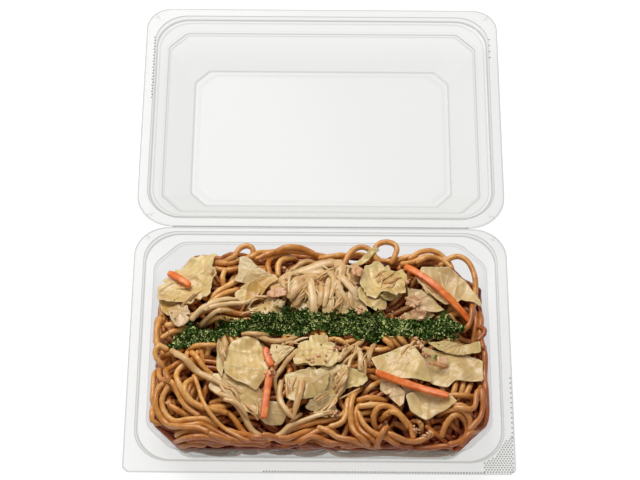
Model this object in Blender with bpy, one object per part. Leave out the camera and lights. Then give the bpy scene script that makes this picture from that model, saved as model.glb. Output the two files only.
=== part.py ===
"""Yakisoba in a clear hinged food pack, lid laid open behind the tray.

The pack is one thermoformed clear sheet: a tray, a thin crease along its back edge, and a lid of the
same outline. The tray is filled with fried noodles heaped a little above the flange. On the noodles lie
pieces of cabbage, bean sprouts, strips of carrot and a band of dried green seaweed flakes.

Frame: metres, +X right, +Y from the front edge towards the lid, +Z up. The origin is under the middle of
the tray, on the surface that the pack stands on. Sizes below are in millimetres; MM turns them to metres.
"""
import math

import bpy
import numpy as np
from mathutils import Vector
from mathutils.bvhtree import BVHTree

MM = 0.001

# ---- the pack: clear sheet, 200 mm wide, tray and lid both about 146 mm deep --------------------------
PACK_WIDTH = 200.0          # over the flange, left to right
TRAY_FRONT = -73.0          # front edge of the tray's flange
FRONT_CORNER = (2.6, 1.0)   # the flange's front corners: leg of the cut, and its radius
HINGE_Y = 74.3              # line of the crease between tray and lid
LID_DEPTH = 147.0           # flange of the lid, from the crease outwards
FLANGE_Z = 24.0             # top of the flange above the table
SHEET = 0.5                 # thickness of the clear sheet
GAP = 0.3                   # space left between two pieces that touch
RIM_INSET = 5.5             # flange edge to the rim step, at the sides
RIM_FRONT = 6.8             # the same at the tray's front
RIM_BACK = 3.2              # the same at the tray's back
RIM_RADIUS = 18.0           # round corners of the rim step
SHOULDER_WIDTH = 6.6        # ledge from the rim step to the body
SHOULDER_FRONT = 1.4        # how much wider that ledge is at the front
SHOULDER_DROP = 1.5         # flange down to the ledge
BODY_DROP = 1.0             # ledge down to the top of the body's wall
WALL_FOOT_Z = 1.8           # where the wall turns into the floor
FOOT_WIDTH = 1.1            # how far in that turn ends
WALL_TAPER = 4.6            # how far each body wall leans in from top to floor
BODY_CORNER = (14.0, 10.0)  # the body's corners: leg of the 45 degree cut, and radius that softens it
LID_NEAR_RADIUS = 20.0      # round corners of the lid's flange, at the crease
LID_FAR_RADIUS = 14.0       # the same at its free edge
LID_OFFSET = 1.3            # crease to the start of the lid's flange
LID_STEP = 3.0              # upright part of the lid's rim
LID_SHOULDER = (7.5, 6.5)   # from the lid's rim: how far in, and how deep, its first ridge lies
LID_RIDGE_CORNER = (10.0, 4.0)              # that ridge's corners: leg of the cut, and its radius
LID_PANEL = 22.0            # from the lid's rim in to its flat panel
LID_PANEL_CORNER = (8.0, 3.0)

# ---- the food ----------------------------------------------------------------------------------------
HEAP_EDGE = 20.6            # height of the noodles at the walls
HEAP_CROWN = 10.4           # how much higher the middle is
HEAP_CENTRE = 3.0           # middle of the food, front to back
FOOD_CORNERS = (15.0, 15.0, 25.0, 19.0)     # corners left free: front left and right, back left and right
LUMP = 0.9                  # height of the lumps that the strands make
SWELL = 0.8                 # height of the slower waves under them
RAGGED_EDGE = 0.009         # share of its reach that the heap's uneven edge gives up
SOLE = 0.985                # the heap's sole against the foot of its wall
LEAF = 0.9                  # thickness of a piece of cabbage
LEVEL = 1.9                 # from one layer of cabbage to the next
CARROT = (3.9, 2.4)         # width and thickness of a carrot strip
CARROT_TAPER = 0.25         # how much narrower its ends are
CARROT_SECTION = [(-0.5, 0.22), (-0.36, 0), (0.36, 0), (0.5, 0.22), (0.5, 0.78), (0.36, 1), (-0.36, 1),
                  (-0.5, 0.78)]             # its outline, in widths and thicknesses
SPROUT_RADIUS = 1.5
SPROUT_TAPER = 0.35         # how much thinner its root end is
SPROUT_SIDES, SPROUT_STATIONS = 7, 12

# Each piece of cabbage: its layer, how much its rim curls, and the corners of its torn outline.
CABBAGE = {
    "cabbage_01": (1, 1.6, [(-81, 39), (-71, 50), (-57, 53), (-55, 43), (-57, 26), (-68, 22), (-77, 25),
                            (-85, 32)]),
    "cabbage_02": (0, 1.2, [(-81, 21), (-69, 22), (-68, 14), (-73, 9), (-79, 13)]),
    "cabbage_03": (0, 1.0, [(-43, 51), (-35, 47), (-25, 38), (-39, 34), (-45, 40)]),
    "cabbage_04": (1, 2.4, [(-45, 29), (-37, 34), (-25, 38), (-18, 31), (-27, 27), (-38, 22), (-44, 24)]),
    "cabbage_05": (1, 2.0, [(25, 47), (34, 46), (39, 37), (45, 33), (43, 26), (33, 25), (24, 27), (21, 34)]),
    "cabbage_06": (1, 1.5, [(51, 45), (61, 48), (71, 45), (78, 38), (84, 25), (73, 28), (66, 24), (57, 32)]),
    "cabbage_07": (0, 0.8, [(46, 31), (54, 30), (60, 23), (54, 19), (47, 22)]),
    "cabbage_08": (1, 1.4, [(-47, -2), (-38, 0), (-31, -5), (-28, -17), (-34, -32), (-45, -29), (-50, -18),
                            (-50, -9)]),
    "cabbage_09": (1, 1.8, [(-9, 0), (-2, 2), (4, 0), (9, -6), (10, -15), (-2, -17), (-14, -15)]),
    "cabbage_10": (0, 1.0, [(-18, -20), (-3, -18), (4, -24), (2, -33), (-8, -38), (-17, -37)]),
    "cabbage_11": (1, 1.3, [(-7, -41), (1, -36), (8, -33), (7, -43), (-5, -45)]),
    "cabbage_12": (1, 0.9, [(27, -11), (47, -4), (52, -10), (58, -24), (43, -23), (31, -19)]),
    "cabbage_13": (0, 0.9, [(56, -7), (78, -8), (85, -13), (83, -23), (70, -23), (67, -28), (60, -26),
                            (54, -16)]),
    "cabbage_14": (1, 1.1, [(44, -34), (56, -32), (66, -34), (70, -39), (55, -47), (48, -44)]),
    "cabbage_15": (0, 1.3, [(31, -27), (37, -27), (43, -33), (42, -41), (36, -36)]),
    "cabbage_16": (1, 1.2, [(59, -3), (72, -2), (83, -3), (84, -8), (72, -8), (63, -7)]),
}

# Each carrot strip: the middle of its two ends.
CARROTS = {
    "carrot_01": ((-81, 42), (-69, 31)),
    "carrot_02": ((45, 46), (77, 14)),
    "carrot_03": ((-25.0, -8), (-22.5, -18)),
    "carrot_04": ((-24.5, -21), (-28, -44)),
    "carrot_05": ((30, -21), (66, -33)),
}

# Each long bean sprout that lies alone: the points it curves through.
LONG_SPROUTS = {
    "bean_sprout_01": [(-76, -10), (-70, -19), (-61, -27), (-53, -34)],
    "bean_sprout_02": [(-21, -27), (-20, -40), (-14, -47), (-10, -42)],
    "bean_sprout_03": [(-49, -39), (-38, -50), (-26, -54), (-13, -52), (-2, -49)],
}

# Low heaps: the points that each curves through, with its half width there, and its height.
SEAWEED_BAND = [(-79, -1, 3.0), (-72, 2, 5.5), (-60, 5, 7.5), (-44, 8, 6.5), (-28, 9, 6.6), (-12, 11, 6.8),
                (4, 10, 6.0), (14, 9, 6.2), (26, 10, 8.6), (40, 8, 6.4), (52, 6, 7.2), (63, 7, 8.0),
                (72, 8, 6.0), (76, 7, 3.0)]
SEAWEED_HEIGHT = 2.4
SEAWEED_STATIONS = 36
SPROUT_HEAP = [(-15, 36, 8.0), (-7, 35, 13.0), (6, 35, 14.0), (18, 34, 10.0)]
SPROUT_HEAP_HEIGHT = 2.6
SPROUT_HEAP_STATIONS = 14
RIDGE_LANES = 4             # faces across a low heap
RIDGE_RIM = 0.3             # its height at its edge

CLEAR = (0.93, 0.94, 0.92, 0.25)
NOODLE_BROWN = (0.42, 0.17, 0.04, 1.0)
CABBAGE_CREAM = (0.66, 0.50, 0.24, 1.0)
CARROT_ORANGE = (0.86, 0.24, 0.05, 1.0)
SPROUT_CREAM = (0.62, 0.43, 0.20, 1.0)
SEAWEED_GREEN = (0.03, 0.09, 0.02, 1.0)


def clear_scene():
    for thing in list(bpy.data.objects):
        bpy.data.objects.remove(thing, do_unlink=True)


def material(name, colour, roughness):
    """A Principled surface of one colour; an alpha under 1 is a clear sheet."""
    made = bpy.data.materials.new(name)
    made.use_nodes = True
    shader = made.node_tree.nodes["Principled BSDF"]
    shader.inputs["Base Color"].default_value = colour[:3] + (1.0,)
    shader.inputs["Alpha"].default_value = colour[3]
    shader.inputs["Roughness"].default_value = roughness
    shader.inputs["Metallic"].default_value = 0.0
    return made


def add_object(name, points, faces, surface):
    """Puts points given in millimetres and their faces into a new object of the scene."""
    mesh = bpy.data.meshes.new(name)
    mesh.from_pydata((np.asarray(points, dtype=float) * MM).tolist(), [], [list(f) for f in faces])
    mesh.materials.append(surface)
    mesh.shade_smooth()
    mesh.set_sharp_from_angle(angle=math.radians(40))
    made = bpy.data.objects.new(name, mesh)
    bpy.context.scene.collection.objects.link(made)
    return made


# ---- outlines ----------------------------------------------------------------------------------------
CORNER_STEPS = 3            # segments of each of the two arcs that round one corner


def corner_arcs(corner, turn, leg, radius):
    """A corner cut at 45 degrees with legs of the given length, both ends of the cut rounded.

    turn is the direction, in quarter turns, of the side that leads into the corner. A round corner of
    radius R is the case leg = R * (2 - sqrt 2), radius = R.
    """
    heading = turn * math.pi / 2
    along = np.array([math.cos(heading), math.sin(heading)])
    left = np.array([-along[1], along[0]])
    points = []
    for start, base, direction in ((0.0, corner - leg * along, along),
                                   (math.pi / 4, corner + leg * left, (along + left) / math.sqrt(2))):
        side = np.array([-direction[1], direction[0]])
        tangent = base - direction * radius * math.tan(math.pi / 8)
        for step in range(CORNER_STEPS + 1):
            angle = step * math.pi / 4 / CORNER_STEPS
            points.append(tangent + radius * (math.sin(angle) * direction + (1 - math.cos(angle)) * side))
    return points


def round_leg(radius):
    return radius * (2 - math.sqrt(2))


def outline(half, front, back, front_corner, back_corner):
    """Counter-clockwise outline of a rectangle whose corners are (leg, radius) cuts."""
    corners = (((half, front), 0, front_corner), ((half, back), 1, back_corner),
               ((-half, back), 2, back_corner), ((-half, front), 3, front_corner))
    points = []
    for place, turn, (leg, radius) in corners:
        points += corner_arcs(np.array(place), turn, leg, radius)
    return np.array(points)


def sheet_surface(rings):
    """Joins outlines of equal length, given as (outline, height), from the edge in, and fills the last."""
    points = np.concatenate([np.column_stack((ring, np.full(len(ring), z))) for ring, z in rings])
    count = len(rings[0][0])
    faces = []
    for level in range(len(rings) - 1):
        for i in range(count):
            j = (i + 1) % count
            near, far = level * count, (level + 1) * count
            faces.append((near + i, near + j, far + j, far + i))
    faces.append(tuple(range((len(rings) - 1) * count, len(rings) * count)))
    return points, faces


def thicken(thing, thickness):
    """Gives the sheet its thickness on the side that faces down."""
    wall = thing.modifiers.new("sheet", "SOLIDIFY")
    wall.thickness = thickness * MM
    wall.offset = -1.0
    wall.use_even_offset = True
    wall.use_quality_normals = True


# ---- tray and lid ------------------------------------------------------------------------------------
HALF = PACK_WIDTH / 2
CREASE_HALF_GAP = GAP / 2
RIM_TOP = (HALF - RIM_INSET, TRAY_FRONT + RIM_FRONT, HINGE_Y - RIM_BACK)
BODY_TOP = (RIM_TOP[0] - SHOULDER_WIDTH, RIM_TOP[1] + SHOULDER_WIDTH + SHOULDER_FRONT,
            RIM_TOP[2] - SHOULDER_WIDTH)
SHOULDER_Z = FLANGE_Z - SHOULDER_DROP
BODY_TOP_Z = SHOULDER_Z - BODY_DROP


def shrink(box, amount):
    """A (half, front, back) rectangle made smaller by the same amount on every side."""
    half, front, back = box
    return half - amount, front + amount, back - amount


def build_tray():
    round_rim = (round_leg(RIM_RADIUS), RIM_RADIUS)
    floor = shrink(BODY_TOP, WALL_TAPER + FOOT_WIDTH)
    rings = [
        (outline(HALF, TRAY_FRONT, HINGE_Y - CREASE_HALF_GAP, FRONT_CORNER, round_rim), FLANGE_Z),
        (outline(*RIM_TOP, round_rim, round_rim), FLANGE_Z),
        (outline(*shrink(RIM_TOP, 0.6), round_rim, round_rim), SHOULDER_Z + 0.3),
        (outline(*shrink(RIM_TOP, 1.0), round_rim, round_rim), SHOULDER_Z),
        (outline(*shrink(BODY_TOP, -0.6), BODY_CORNER, BODY_CORNER), SHOULDER_Z),
        (outline(*BODY_TOP, BODY_CORNER, BODY_CORNER), BODY_TOP_Z),
        (outline(*shrink(BODY_TOP, WALL_TAPER), BODY_CORNER, BODY_CORNER), WALL_FOOT_Z),
        (outline(*floor, BODY_CORNER, BODY_CORNER), SHEET),
    ]
    tray = add_object("tray", *sheet_surface(rings), material("clear_tray", CLEAR, 0.08))
    thicken(tray, SHEET)
    return tray


def build_lid():
    """The lid lies open, hollow side up, its panel on the table."""
    near, far = HINGE_Y + CREASE_HALF_GAP, HINGE_Y + LID_OFFSET + LID_DEPTH
    rim = (HALF - RIM_INSET, HINGE_Y + LID_OFFSET + RIM_INSET, far - RIM_INSET)
    round_rim = (round_leg(RIM_RADIUS), RIM_RADIUS)
    near_corner = (round_leg(LID_NEAR_RADIUS), LID_NEAR_RADIUS)
    far_corner = (round_leg(LID_FAR_RADIUS), LID_FAR_RADIUS)
    in_ridge, in_panel = LID_SHOULDER[0], LID_PANEL
    ridge_z = FLANGE_Z - LID_SHOULDER[1]
    rings = [
        (outline(HALF, near, far, near_corner, far_corner), FLANGE_Z),
        (outline(*rim, round_rim, round_rim), FLANGE_Z),
        (outline(*shrink(rim, 0.7), round_rim, round_rim), FLANGE_Z - LID_STEP),
        (outline(*shrink(rim, in_ridge - 0.8), LID_RIDGE_CORNER, LID_RIDGE_CORNER), ridge_z + 0.3),
        (outline(*shrink(rim, in_ridge + 0.6), LID_RIDGE_CORNER, LID_RIDGE_CORNER), ridge_z - 0.7),
        (outline(*shrink(rim, in_panel - 0.9), LID_PANEL_CORNER, LID_PANEL_CORNER), SHEET + 1.2),
        (outline(*shrink(rim, in_panel + 0.5), LID_PANEL_CORNER, LID_PANEL_CORNER), SHEET),
    ]
    lid = add_object("lid", *sheet_surface(rings), material("clear_lid", CLEAR, 0.08))
    thicken(lid, SHEET)
    return lid


# ---- noodles -----------------------------------------------------------------------------------------
def heap_top(x, y):
    """Height of the noodles: low at the walls, a broad crown, and the lumps that the strands make."""
    u = np.abs(x) / BODY_TOP[0]
    v = np.abs(y - HEAP_CENTRE) / ((BODY_TOP[2] - BODY_TOP[1]) / 2)
    crown = np.clip(1 - u ** 3.4, 0, 1) * np.clip(1 - v ** 2.8, 0, 1)
    lumps = LUMP * np.sin(x / 6.1 + 1.4 * np.sin(y / 13.0)) * np.cos(y / 8.3 + 0.8 * np.sin(x / 17.0))
    swell = SWELL * np.sin(x / 21.0 + 0.6) * np.sin(y / 16.0 + 1.1)
    return HEAP_EDGE + HEAP_CROWN * crown + (lumps + swell) * (0.35 + 0.65 * crown)


def row_reach(y, box, front_leg, back_leg):
    """How far the food reaches to one side at y, where slanting cuts take off two corners of the box."""
    half, front, back = box
    cut = np.maximum(front_leg - (y - front), back_leg - (back - y))
    return half - np.clip(cut, 0, max(front_leg, back_leg))


HEAP_COLUMNS, HEAP_ROWS = 34, 24
HEAP_CLEARANCE = 0.6        # room for the tray's sheet between the heap and the wall
ROW_CROWDING = 0.35         # how much closer together the rows are at the heap's front and back
EDGE_BAND = 24              # the higher, the narrower the band where the edge is uneven


def build_noodles():
    """The heap: a grid over the top, and a wall and a sole joined to its rim."""
    columns, rows = HEAP_COLUMNS, HEAP_ROWS
    top_box = shrink(BODY_TOP, GAP + HEAP_CLEARANCE)
    foot_box = shrink(BODY_TOP, WALL_TAPER + GAP + HEAP_CLEARANCE)
    across = np.linspace(-1, 1, columns + 1)
    depth = (1 - np.cos(np.linspace(0, math.pi, rows + 1))) / 2
    depth = ROW_CROWDING * depth + (1 - ROW_CROWDING) * np.linspace(0, 1, rows + 1)
    y = top_box[1] + (top_box[2] - top_box[1]) * depth
    left = row_reach(y, top_box, FOOD_CORNERS[0], FOOD_CORNERS[2])[:, None]
    right = row_reach(y, top_box, FOOD_CORNERS[1], FOOD_CORNERS[3])[:, None]
    grid_x = (right - left) / 2 + across[None, :] * (right + left) / 2
    grid_y = np.repeat(y[:, None], columns + 1, axis=1)
    ragged = 0.5 + 0.5 * np.sin(grid_x / 4.3 + grid_y / 3.1)
    edge = np.abs(across[None, :]) ** EDGE_BAND + np.abs(2 * depth[:, None] - 1) ** EDGE_BAND
    pull = 1 - RAGGED_EDGE * ragged * np.clip(edge, 0, 1)
    grid_x = grid_x * pull
    grid_y = HEAP_CENTRE + (grid_y - HEAP_CENTRE) * pull
    top = np.stack((grid_x, grid_y, heap_top(grid_x, grid_y)), axis=-1).reshape(-1, 3)
    index = np.arange((rows + 1) * (columns + 1)).reshape(rows + 1, columns + 1)
    faces = np.stack((index[:-1, :-1], index[:-1, 1:], index[1:, 1:], index[1:, :-1]), -1).reshape(-1, 4)
    rim = np.concatenate((index[0, :-1], index[:-1, -1], index[-1, :0:-1], index[:0:-1, 0]))
    middle = np.array([0.0, (top_box[1] + top_box[2]) / 2])
    scale = np.array([foot_box[0] / top_box[0],
                      (foot_box[2] - foot_box[1]) / (top_box[2] - top_box[1])])
    wall = middle + (top[rim, :2] - middle) * scale
    sole = middle + (top[rim, :2] - middle) * scale * SOLE
    points = np.concatenate((top, np.column_stack((wall, np.full(len(rim), WALL_FOOT_Z + GAP))),
                             np.column_stack((sole, np.full(len(rim), SHEET + GAP)))))
    first, second = len(top), len(top) + len(rim)
    faces = [tuple(f) for f in faces]
    for i in range(len(rim)):
        j = (i + 1) % len(rim)
        faces.append((rim[j], rim[i], first + i, first + j))
        faces.append((first + j, first + i, second + i, second + j))
    faces.append(tuple(range(second + len(rim) - 1, second - 1, -1)))
    return add_object("noodles", points, faces, material("fried_noodle", NOODLE_BROWN, 0.45))


# ---- cabbage -----------------------------------------------------------------------------------------
RIM_POINTS = 18             # points round a piece of cabbage
RIM_RINGS = 3


def curve_through(p0, p1, p2, p3, t):
    """Catmull-Rom: the curve from p1 to p2 that leaves and meets its neighbours without a kink."""
    return 0.5 * (2 * p1 + (p2 - p0) * t + (2 * p0 - 5 * p1 + 4 * p2 - p3) * t ** 2
                  + (3 * p1 - p0 - 3 * p2 + p3) * t ** 3)


def even_points(line, count):
    """The given number of evenly spaced points along a line of many short steps."""
    steps = np.concatenate(([0.0], np.cumsum(np.linalg.norm(np.diff(line, axis=0), axis=1))))
    even = np.linspace(0, steps[-1], count)
    return np.column_stack([np.interp(even, steps, line[:, k]) for k in range(line.shape[1])])


FINE = np.linspace(0, 1, 24, endpoint=False)[:, None]


def rounded_rim(corners, count):
    """Even points on a closed curve through the corners of a leaf."""
    corners = np.array(corners, dtype=float)
    around = [np.roll(corners, shift, axis=0) for shift in (1, 0, -1, -2)]
    line = np.vstack([curve_through(*places, FINE) for places in zip(*around)] + [corners[:1]])
    return even_points(line, count + 1)[:-1]


def cabbage_height(x, y, layer):
    return heap_top(x, y) + 2 * GAP + layer * LEVEL


def build_cabbage(name, layer, curl, corners, surface):
    """A thin leaf over the heap, its rim lifted by curl in slow waves."""
    rim = rounded_rim(corners, RIM_POINTS)
    if np.sum(rim[:, 0] * np.roll(rim[:, 1], -1) - rim[:, 1] * np.roll(rim[:, 0], -1)) < 0:
        rim = rim[::-1]
    middle = rim.mean(axis=0)
    angle = np.linspace(0, 2 * math.pi, RIM_POINTS, endpoint=False)
    wave = 0.5 + 0.5 * np.sin(2 * angle + sum(corners[0]))
    flat, lift = [middle[None, :]], [np.zeros(1)]
    for ring in range(1, RIM_RINGS + 1):
        share = ring / RIM_RINGS
        flat.append(middle + (rim - middle) * share)
        lift.append(curl * wave * share ** 3)
    flat, lift = np.concatenate(flat), np.concatenate(lift)
    under = cabbage_height(flat[:, 0], flat[:, 1], layer) + lift
    count = len(flat)
    points = np.concatenate((np.column_stack((flat, under + LEAF)), np.column_stack((flat, under))))
    faces = []
    for i in range(RIM_POINTS):
        j = (i + 1) % RIM_POINTS
        faces.append((0, 1 + i, 1 + j))
        faces.append((count, count + 1 + j, count + 1 + i))
        for ring in range(RIM_RINGS - 1):
            near, far = 1 + ring * RIM_POINTS, 1 + (ring + 1) * RIM_POINTS
            faces.append((near + i, far + i, far + j, near + j))
            faces.append((count + near + j, count + far + j, count + far + i, count + near + i))
        last = 1 + (RIM_RINGS - 1) * RIM_POINTS
        faces.append((last + i, count + last + i, count + last + j, last + j))
    return add_object(name, points, faces, surface)


# ---- what lies on top --------------------------------------------------------------------------------
class Cover:
    """Finds how high the finished pieces reach at a place, by looking straight down on them."""

    def __init__(self, things):
        bpy.context.view_layer.update()
        graph = bpy.context.evaluated_depsgraph_get()
        self.trees = [BVHTree.FromObject(thing, graph) for thing in things]

    def height(self, x, y):
        start = Vector((x * MM, y * MM, 0.1))
        down = Vector((0, 0, -1))
        hits = [tree.ray_cast(start, down)[0] for tree in self.trees]
        return max([hit.z for hit in hits if hit] + [0.0]) / MM

    def highest_near(self, x, y, reach):
        around = [(0, 0), (reach, 0), (-reach, 0), (0, reach), (0, -reach)]
        return max(self.height(x + dx, y + dy) for dx, dy in around)


def build_carrot(name, ends, cover, surface):
    """A straight strip with bevelled edges, laid on the highest points under it."""
    width, thick = CARROT
    start, end = (np.array(p, dtype=float) for p in ends)
    length = np.linalg.norm(end - start)
    along = (end - start) / length
    side = np.array([-along[1], along[0]])
    places = np.linspace(-0.02, 1.02, 25)
    heights = np.array([max(cover.height(*(start + (end - start) * t + side * s * width / 2))
                            for s in (-1.1, -0.6, 0, 0.6, 1.1)) for t in places])
    slope, base = np.polyfit(places, heights, 1)
    base += np.max(heights - (base + slope * places)) + 2 * GAP
    stations = np.linspace(0, 1, 7)
    points, faces = [], []
    for t in stations:
        place = start + (end - start) * t
        taper = 1 - CARROT_TAPER * abs(2 * t - 1) ** 4
        for across, up in CARROT_SECTION:
            flat = place + side * across * width * taper
            points.append((flat[0], flat[1], base + slope * t + up * thick))
    n = len(CARROT_SECTION)
    for k in range(len(stations) - 1):
        for i in range(n):
            j = (i + 1) % n
            faces.append((k * n + i, k * n + j, (k + 1) * n + j, (k + 1) * n + i))
    faces.append(tuple(range(n - 1, -1, -1)))
    faces.append(tuple(range(len(points) - n, len(points))))
    return add_object(name, points, faces, surface)


def smooth_route(route, count):
    """Evenly spaced points along a curve through the given places."""
    given = np.array(route, dtype=float)
    given = np.vstack((2 * given[0] - given[1], given, 2 * given[-1] - given[-2]))
    spans = zip(given, given[1:], given[2:], given[3:])
    return even_points(np.vstack([curve_through(*span, FINE) for span in spans] + [given[-2:-1]]), count)


def build_sprout(name, route, cover, surface):
    """A bean sprout: a round tube that lies along the heap, thinner at its root end."""
    sides, stations = SPROUT_SIDES, SPROUT_STATIONS
    path = smooth_route(route, stations)
    ahead = np.gradient(path, axis=0)
    ahead /= np.linalg.norm(ahead, axis=1)[:, None]
    side = np.column_stack((-ahead[:, 1], ahead[:, 0]))
    thick = SPROUT_RADIUS * (1 - SPROUT_TAPER * np.linspace(0, 1, stations) ** 2)
    heights = np.array([max(cover.height(*(p + s * k * SPROUT_RADIUS)) for k in (-1.2, -0.5, 0.5, 1.2))
                        for p, s in zip(path, side)])
    heights = np.maximum(heights, np.maximum(np.roll(heights, 1), np.roll(heights, -1)))
    heights = heights + 2 * GAP + thick
    turns = np.linspace(0, 2 * math.pi, sides, endpoint=False)
    points = []
    for p, s, r, z in zip(path, side, thick, heights):
        for a in turns:
            flat = p + s * math.cos(a) * r
            points.append((flat[0], flat[1], z + math.sin(a) * r))
    faces = []
    for k in range(stations - 1):
        for i in range(sides):
            j = (i + 1) % sides
            faces.append((k * sides + i, k * sides + j, (k + 1) * sides + j, (k + 1) * sides + i))
    faces.append(tuple(range(sides - 1, -1, -1)))
    faces.append(tuple(range((stations - 1) * sides, stations * sides)))
    return add_object(name, points, faces, surface)


def build_ridge(name, route, height, cover, surface, stations):
    """A low heap of small things along a route: a lumpy ridge that follows what it lies on."""
    lanes = RIDGE_LANES
    path = smooth_route(route, stations)
    path, breadth = path[:, :2], path[:, 2]
    ahead = np.gradient(path, axis=0)
    ahead /= np.linalg.norm(ahead, axis=1)[:, None]
    side = np.column_stack((-ahead[:, 1], ahead[:, 0]))
    run = np.linspace(0, 1, stations)
    across = np.linspace(-1, 1, lanes + 1)
    flat = path[:, None, :] + side[:, None, :] * (across[None, :] * breadth[:, None])[..., None]
    ground = np.array([[cover.highest_near(*place, 2.4) for place in row] for row in flat])
    rise = height * (1 - 0.75 * np.abs(across) ** 2.5)[None, :] * (0.8 + 0.2 * np.sin(run * 57))[:, None]
    under = ground + 3 * GAP
    top = np.dstack((flat, (under + RIDGE_RIM + rise)[..., None])).reshape(-1, 3)
    below = np.dstack((flat, under[..., None])).reshape(-1, 3)
    index = np.arange(stations * (lanes + 1)).reshape(stations, lanes + 1)
    quads = np.stack((index[:-1, :-1], index[1:, :-1], index[1:, 1:], index[:-1, 1:]), -1).reshape(-1, 4)
    count = len(top)
    faces = [tuple(q) for q in quads] + [tuple(count + q[::-1]) for q in quads]
    rim = np.concatenate((index[:-1, 0], index[-1, :-1], index[:0:-1, -1], index[0, :0:-1]))
    for i in range(len(rim)):
        j = (i + 1) % len(rim)
        faces.append((rim[i], count + rim[i], count + rim[j], rim[j]))
    return add_object(name, np.concatenate((top, below)), faces, surface)


def build_toppings(noodles):
    green_cream = material("cabbage", CABBAGE_CREAM, 0.35)
    leaves = [build_cabbage(name, *shape, green_cream) for name, shape in CABBAGE.items()]
    cover = Cover([noodles] + leaves)
    orange = material("carrot", CARROT_ORANGE, 0.4)
    for name, ends in CARROTS.items():
        build_carrot(name, ends, cover, orange)
    pale = material("bean_sprout", SPROUT_CREAM, 0.35)
    for name, route in LONG_SPROUTS.items():
        build_sprout(name, route, cover, pale)
    build_ridge("bean_sprout_heap", SPROUT_HEAP, SPROUT_HEAP_HEIGHT, cover, pale,
                SPROUT_HEAP_STATIONS)
    green = material("seaweed_flakes", SEAWEED_GREEN, 0.7)
    build_ridge("seaweed_band", SEAWEED_BAND, SEAWEED_HEIGHT, cover, green,
                SEAWEED_STATIONS)


clear_scene()
build_tray()
build_lid()
build_toppings(build_noodles())
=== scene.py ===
"""Yakisoba in a clear hinged food pack: the finish of every piece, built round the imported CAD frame.

The sections follow the pack as it is filled: the studio, the tray, the lid, the crease between them, then
the noodles, cabbage, bean sprouts, carrot, dried seaweed and crumbs of meat. Sizes are in millimetres in
the frame of the CAD model and become metres where a mesh is made.
"""
import math

import bpy
import numpy as np
from mathutils import Matrix, Vector


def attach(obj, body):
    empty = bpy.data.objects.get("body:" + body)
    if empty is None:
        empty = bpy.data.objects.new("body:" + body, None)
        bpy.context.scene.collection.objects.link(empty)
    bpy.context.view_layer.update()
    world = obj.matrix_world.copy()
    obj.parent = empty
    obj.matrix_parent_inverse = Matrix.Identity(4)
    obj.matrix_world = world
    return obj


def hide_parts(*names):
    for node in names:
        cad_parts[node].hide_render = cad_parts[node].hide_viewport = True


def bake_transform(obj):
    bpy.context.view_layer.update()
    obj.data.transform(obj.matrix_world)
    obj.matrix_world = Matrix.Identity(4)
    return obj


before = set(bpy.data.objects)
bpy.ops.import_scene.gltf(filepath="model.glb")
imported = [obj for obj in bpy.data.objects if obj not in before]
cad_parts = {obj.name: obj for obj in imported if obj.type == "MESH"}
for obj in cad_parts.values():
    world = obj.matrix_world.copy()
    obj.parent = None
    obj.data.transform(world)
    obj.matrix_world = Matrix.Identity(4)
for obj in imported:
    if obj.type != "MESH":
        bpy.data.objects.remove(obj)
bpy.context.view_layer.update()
MM = 0.001

# ---- Studio ------------------------------------------------------------------------------------------
# A white table under a broad soft lamp from behind and above, a weaker lamp in front, and pale air all
# round. The camera stands in front of the pack and looks down on it steeply.
scene = bpy.context.scene
scene.view_settings.view_transform = "Standard"

air = bpy.data.worlds.new("studio_air")
air.use_nodes = True
air.node_tree.nodes["Background"].inputs["Color"].default_value = (1.0, 1.0, 1.0, 1.0)
air.node_tree.nodes["Background"].inputs["Strength"].default_value = 0.34
scene.world = air

floor_mesh = bpy.data.meshes.new("studio_table")
floor_mesh.from_pydata([(-4, -4, -0.0005), (4, -4, -0.0005), (4, 4, -0.0005), (-4, 4, -0.0005)], [],
                       [(0, 1, 2, 3)])
floor = bpy.data.objects.new("studio_table", floor_mesh)
scene.collection.objects.link(floor)
table_white = bpy.data.materials.new("table_white")
table_white.use_nodes = True
table_shader = table_white.node_tree.nodes["Principled BSDF"]
table_shader.inputs["Base Color"].default_value = (0.30, 0.30, 0.30, 1.0)
table_shader.inputs["Roughness"].default_value = 0.9
table_shader.inputs["Specular IOR Level"].default_value = 0.0
table_shader.inputs["Emission Color"].default_value = (1.0, 1.0, 1.0, 1.0)
table_shader.inputs["Emission Strength"].default_value = 0.80
floor_mesh.materials.append(table_white)


def soft_lamp(name, place, target, size, power):
    """A square lamp at place that faces target."""
    data = bpy.data.lights.new(name, "AREA")
    data.size = size
    data.energy = power
    lamp = bpy.data.objects.new(name, data)
    scene.collection.objects.link(lamp)
    lamp.matrix_world = Matrix.Translation(place) @ (
        Vector(target) - Vector(place)).to_track_quat("-Z", "Y").to_matrix().to_4x4()


soft_lamp("lamp_above", (-0.4, 0.85, 1.5), (0, 0.05, 0), 1.0, 25.0)
soft_lamp("lamp_front", (0.9, -1.1, 1.0), (0, 0, 0), 0.8, 1.5)

CAMERA_PLACE = (-0.0003, -0.5912, 1.0762)
CAMERA_TILT = math.radians(58.0)        # below the horizon
CAMERA_ROLL = math.radians(0.4)
camera_data = bpy.data.cameras.new("camera")
camera_data.sensor_width = 36.0
camera_data.lens = 129.6
camera_data.clip_end = 10.0
camera = bpy.data.objects.new("camera", camera_data)
scene.collection.objects.link(camera)
ahead = Vector((0, math.cos(CAMERA_TILT), -math.sin(CAMERA_TILT)))
right = Vector((1, 0, 0))
turned = Matrix((right, right.cross(ahead), -ahead)).transposed().to_4x4()
camera.matrix_world = Matrix.Translation(CAMERA_PLACE) @ turned @ Matrix.Rotation(CAMERA_ROLL, 4, "Z")
scene.camera = camera

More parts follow.
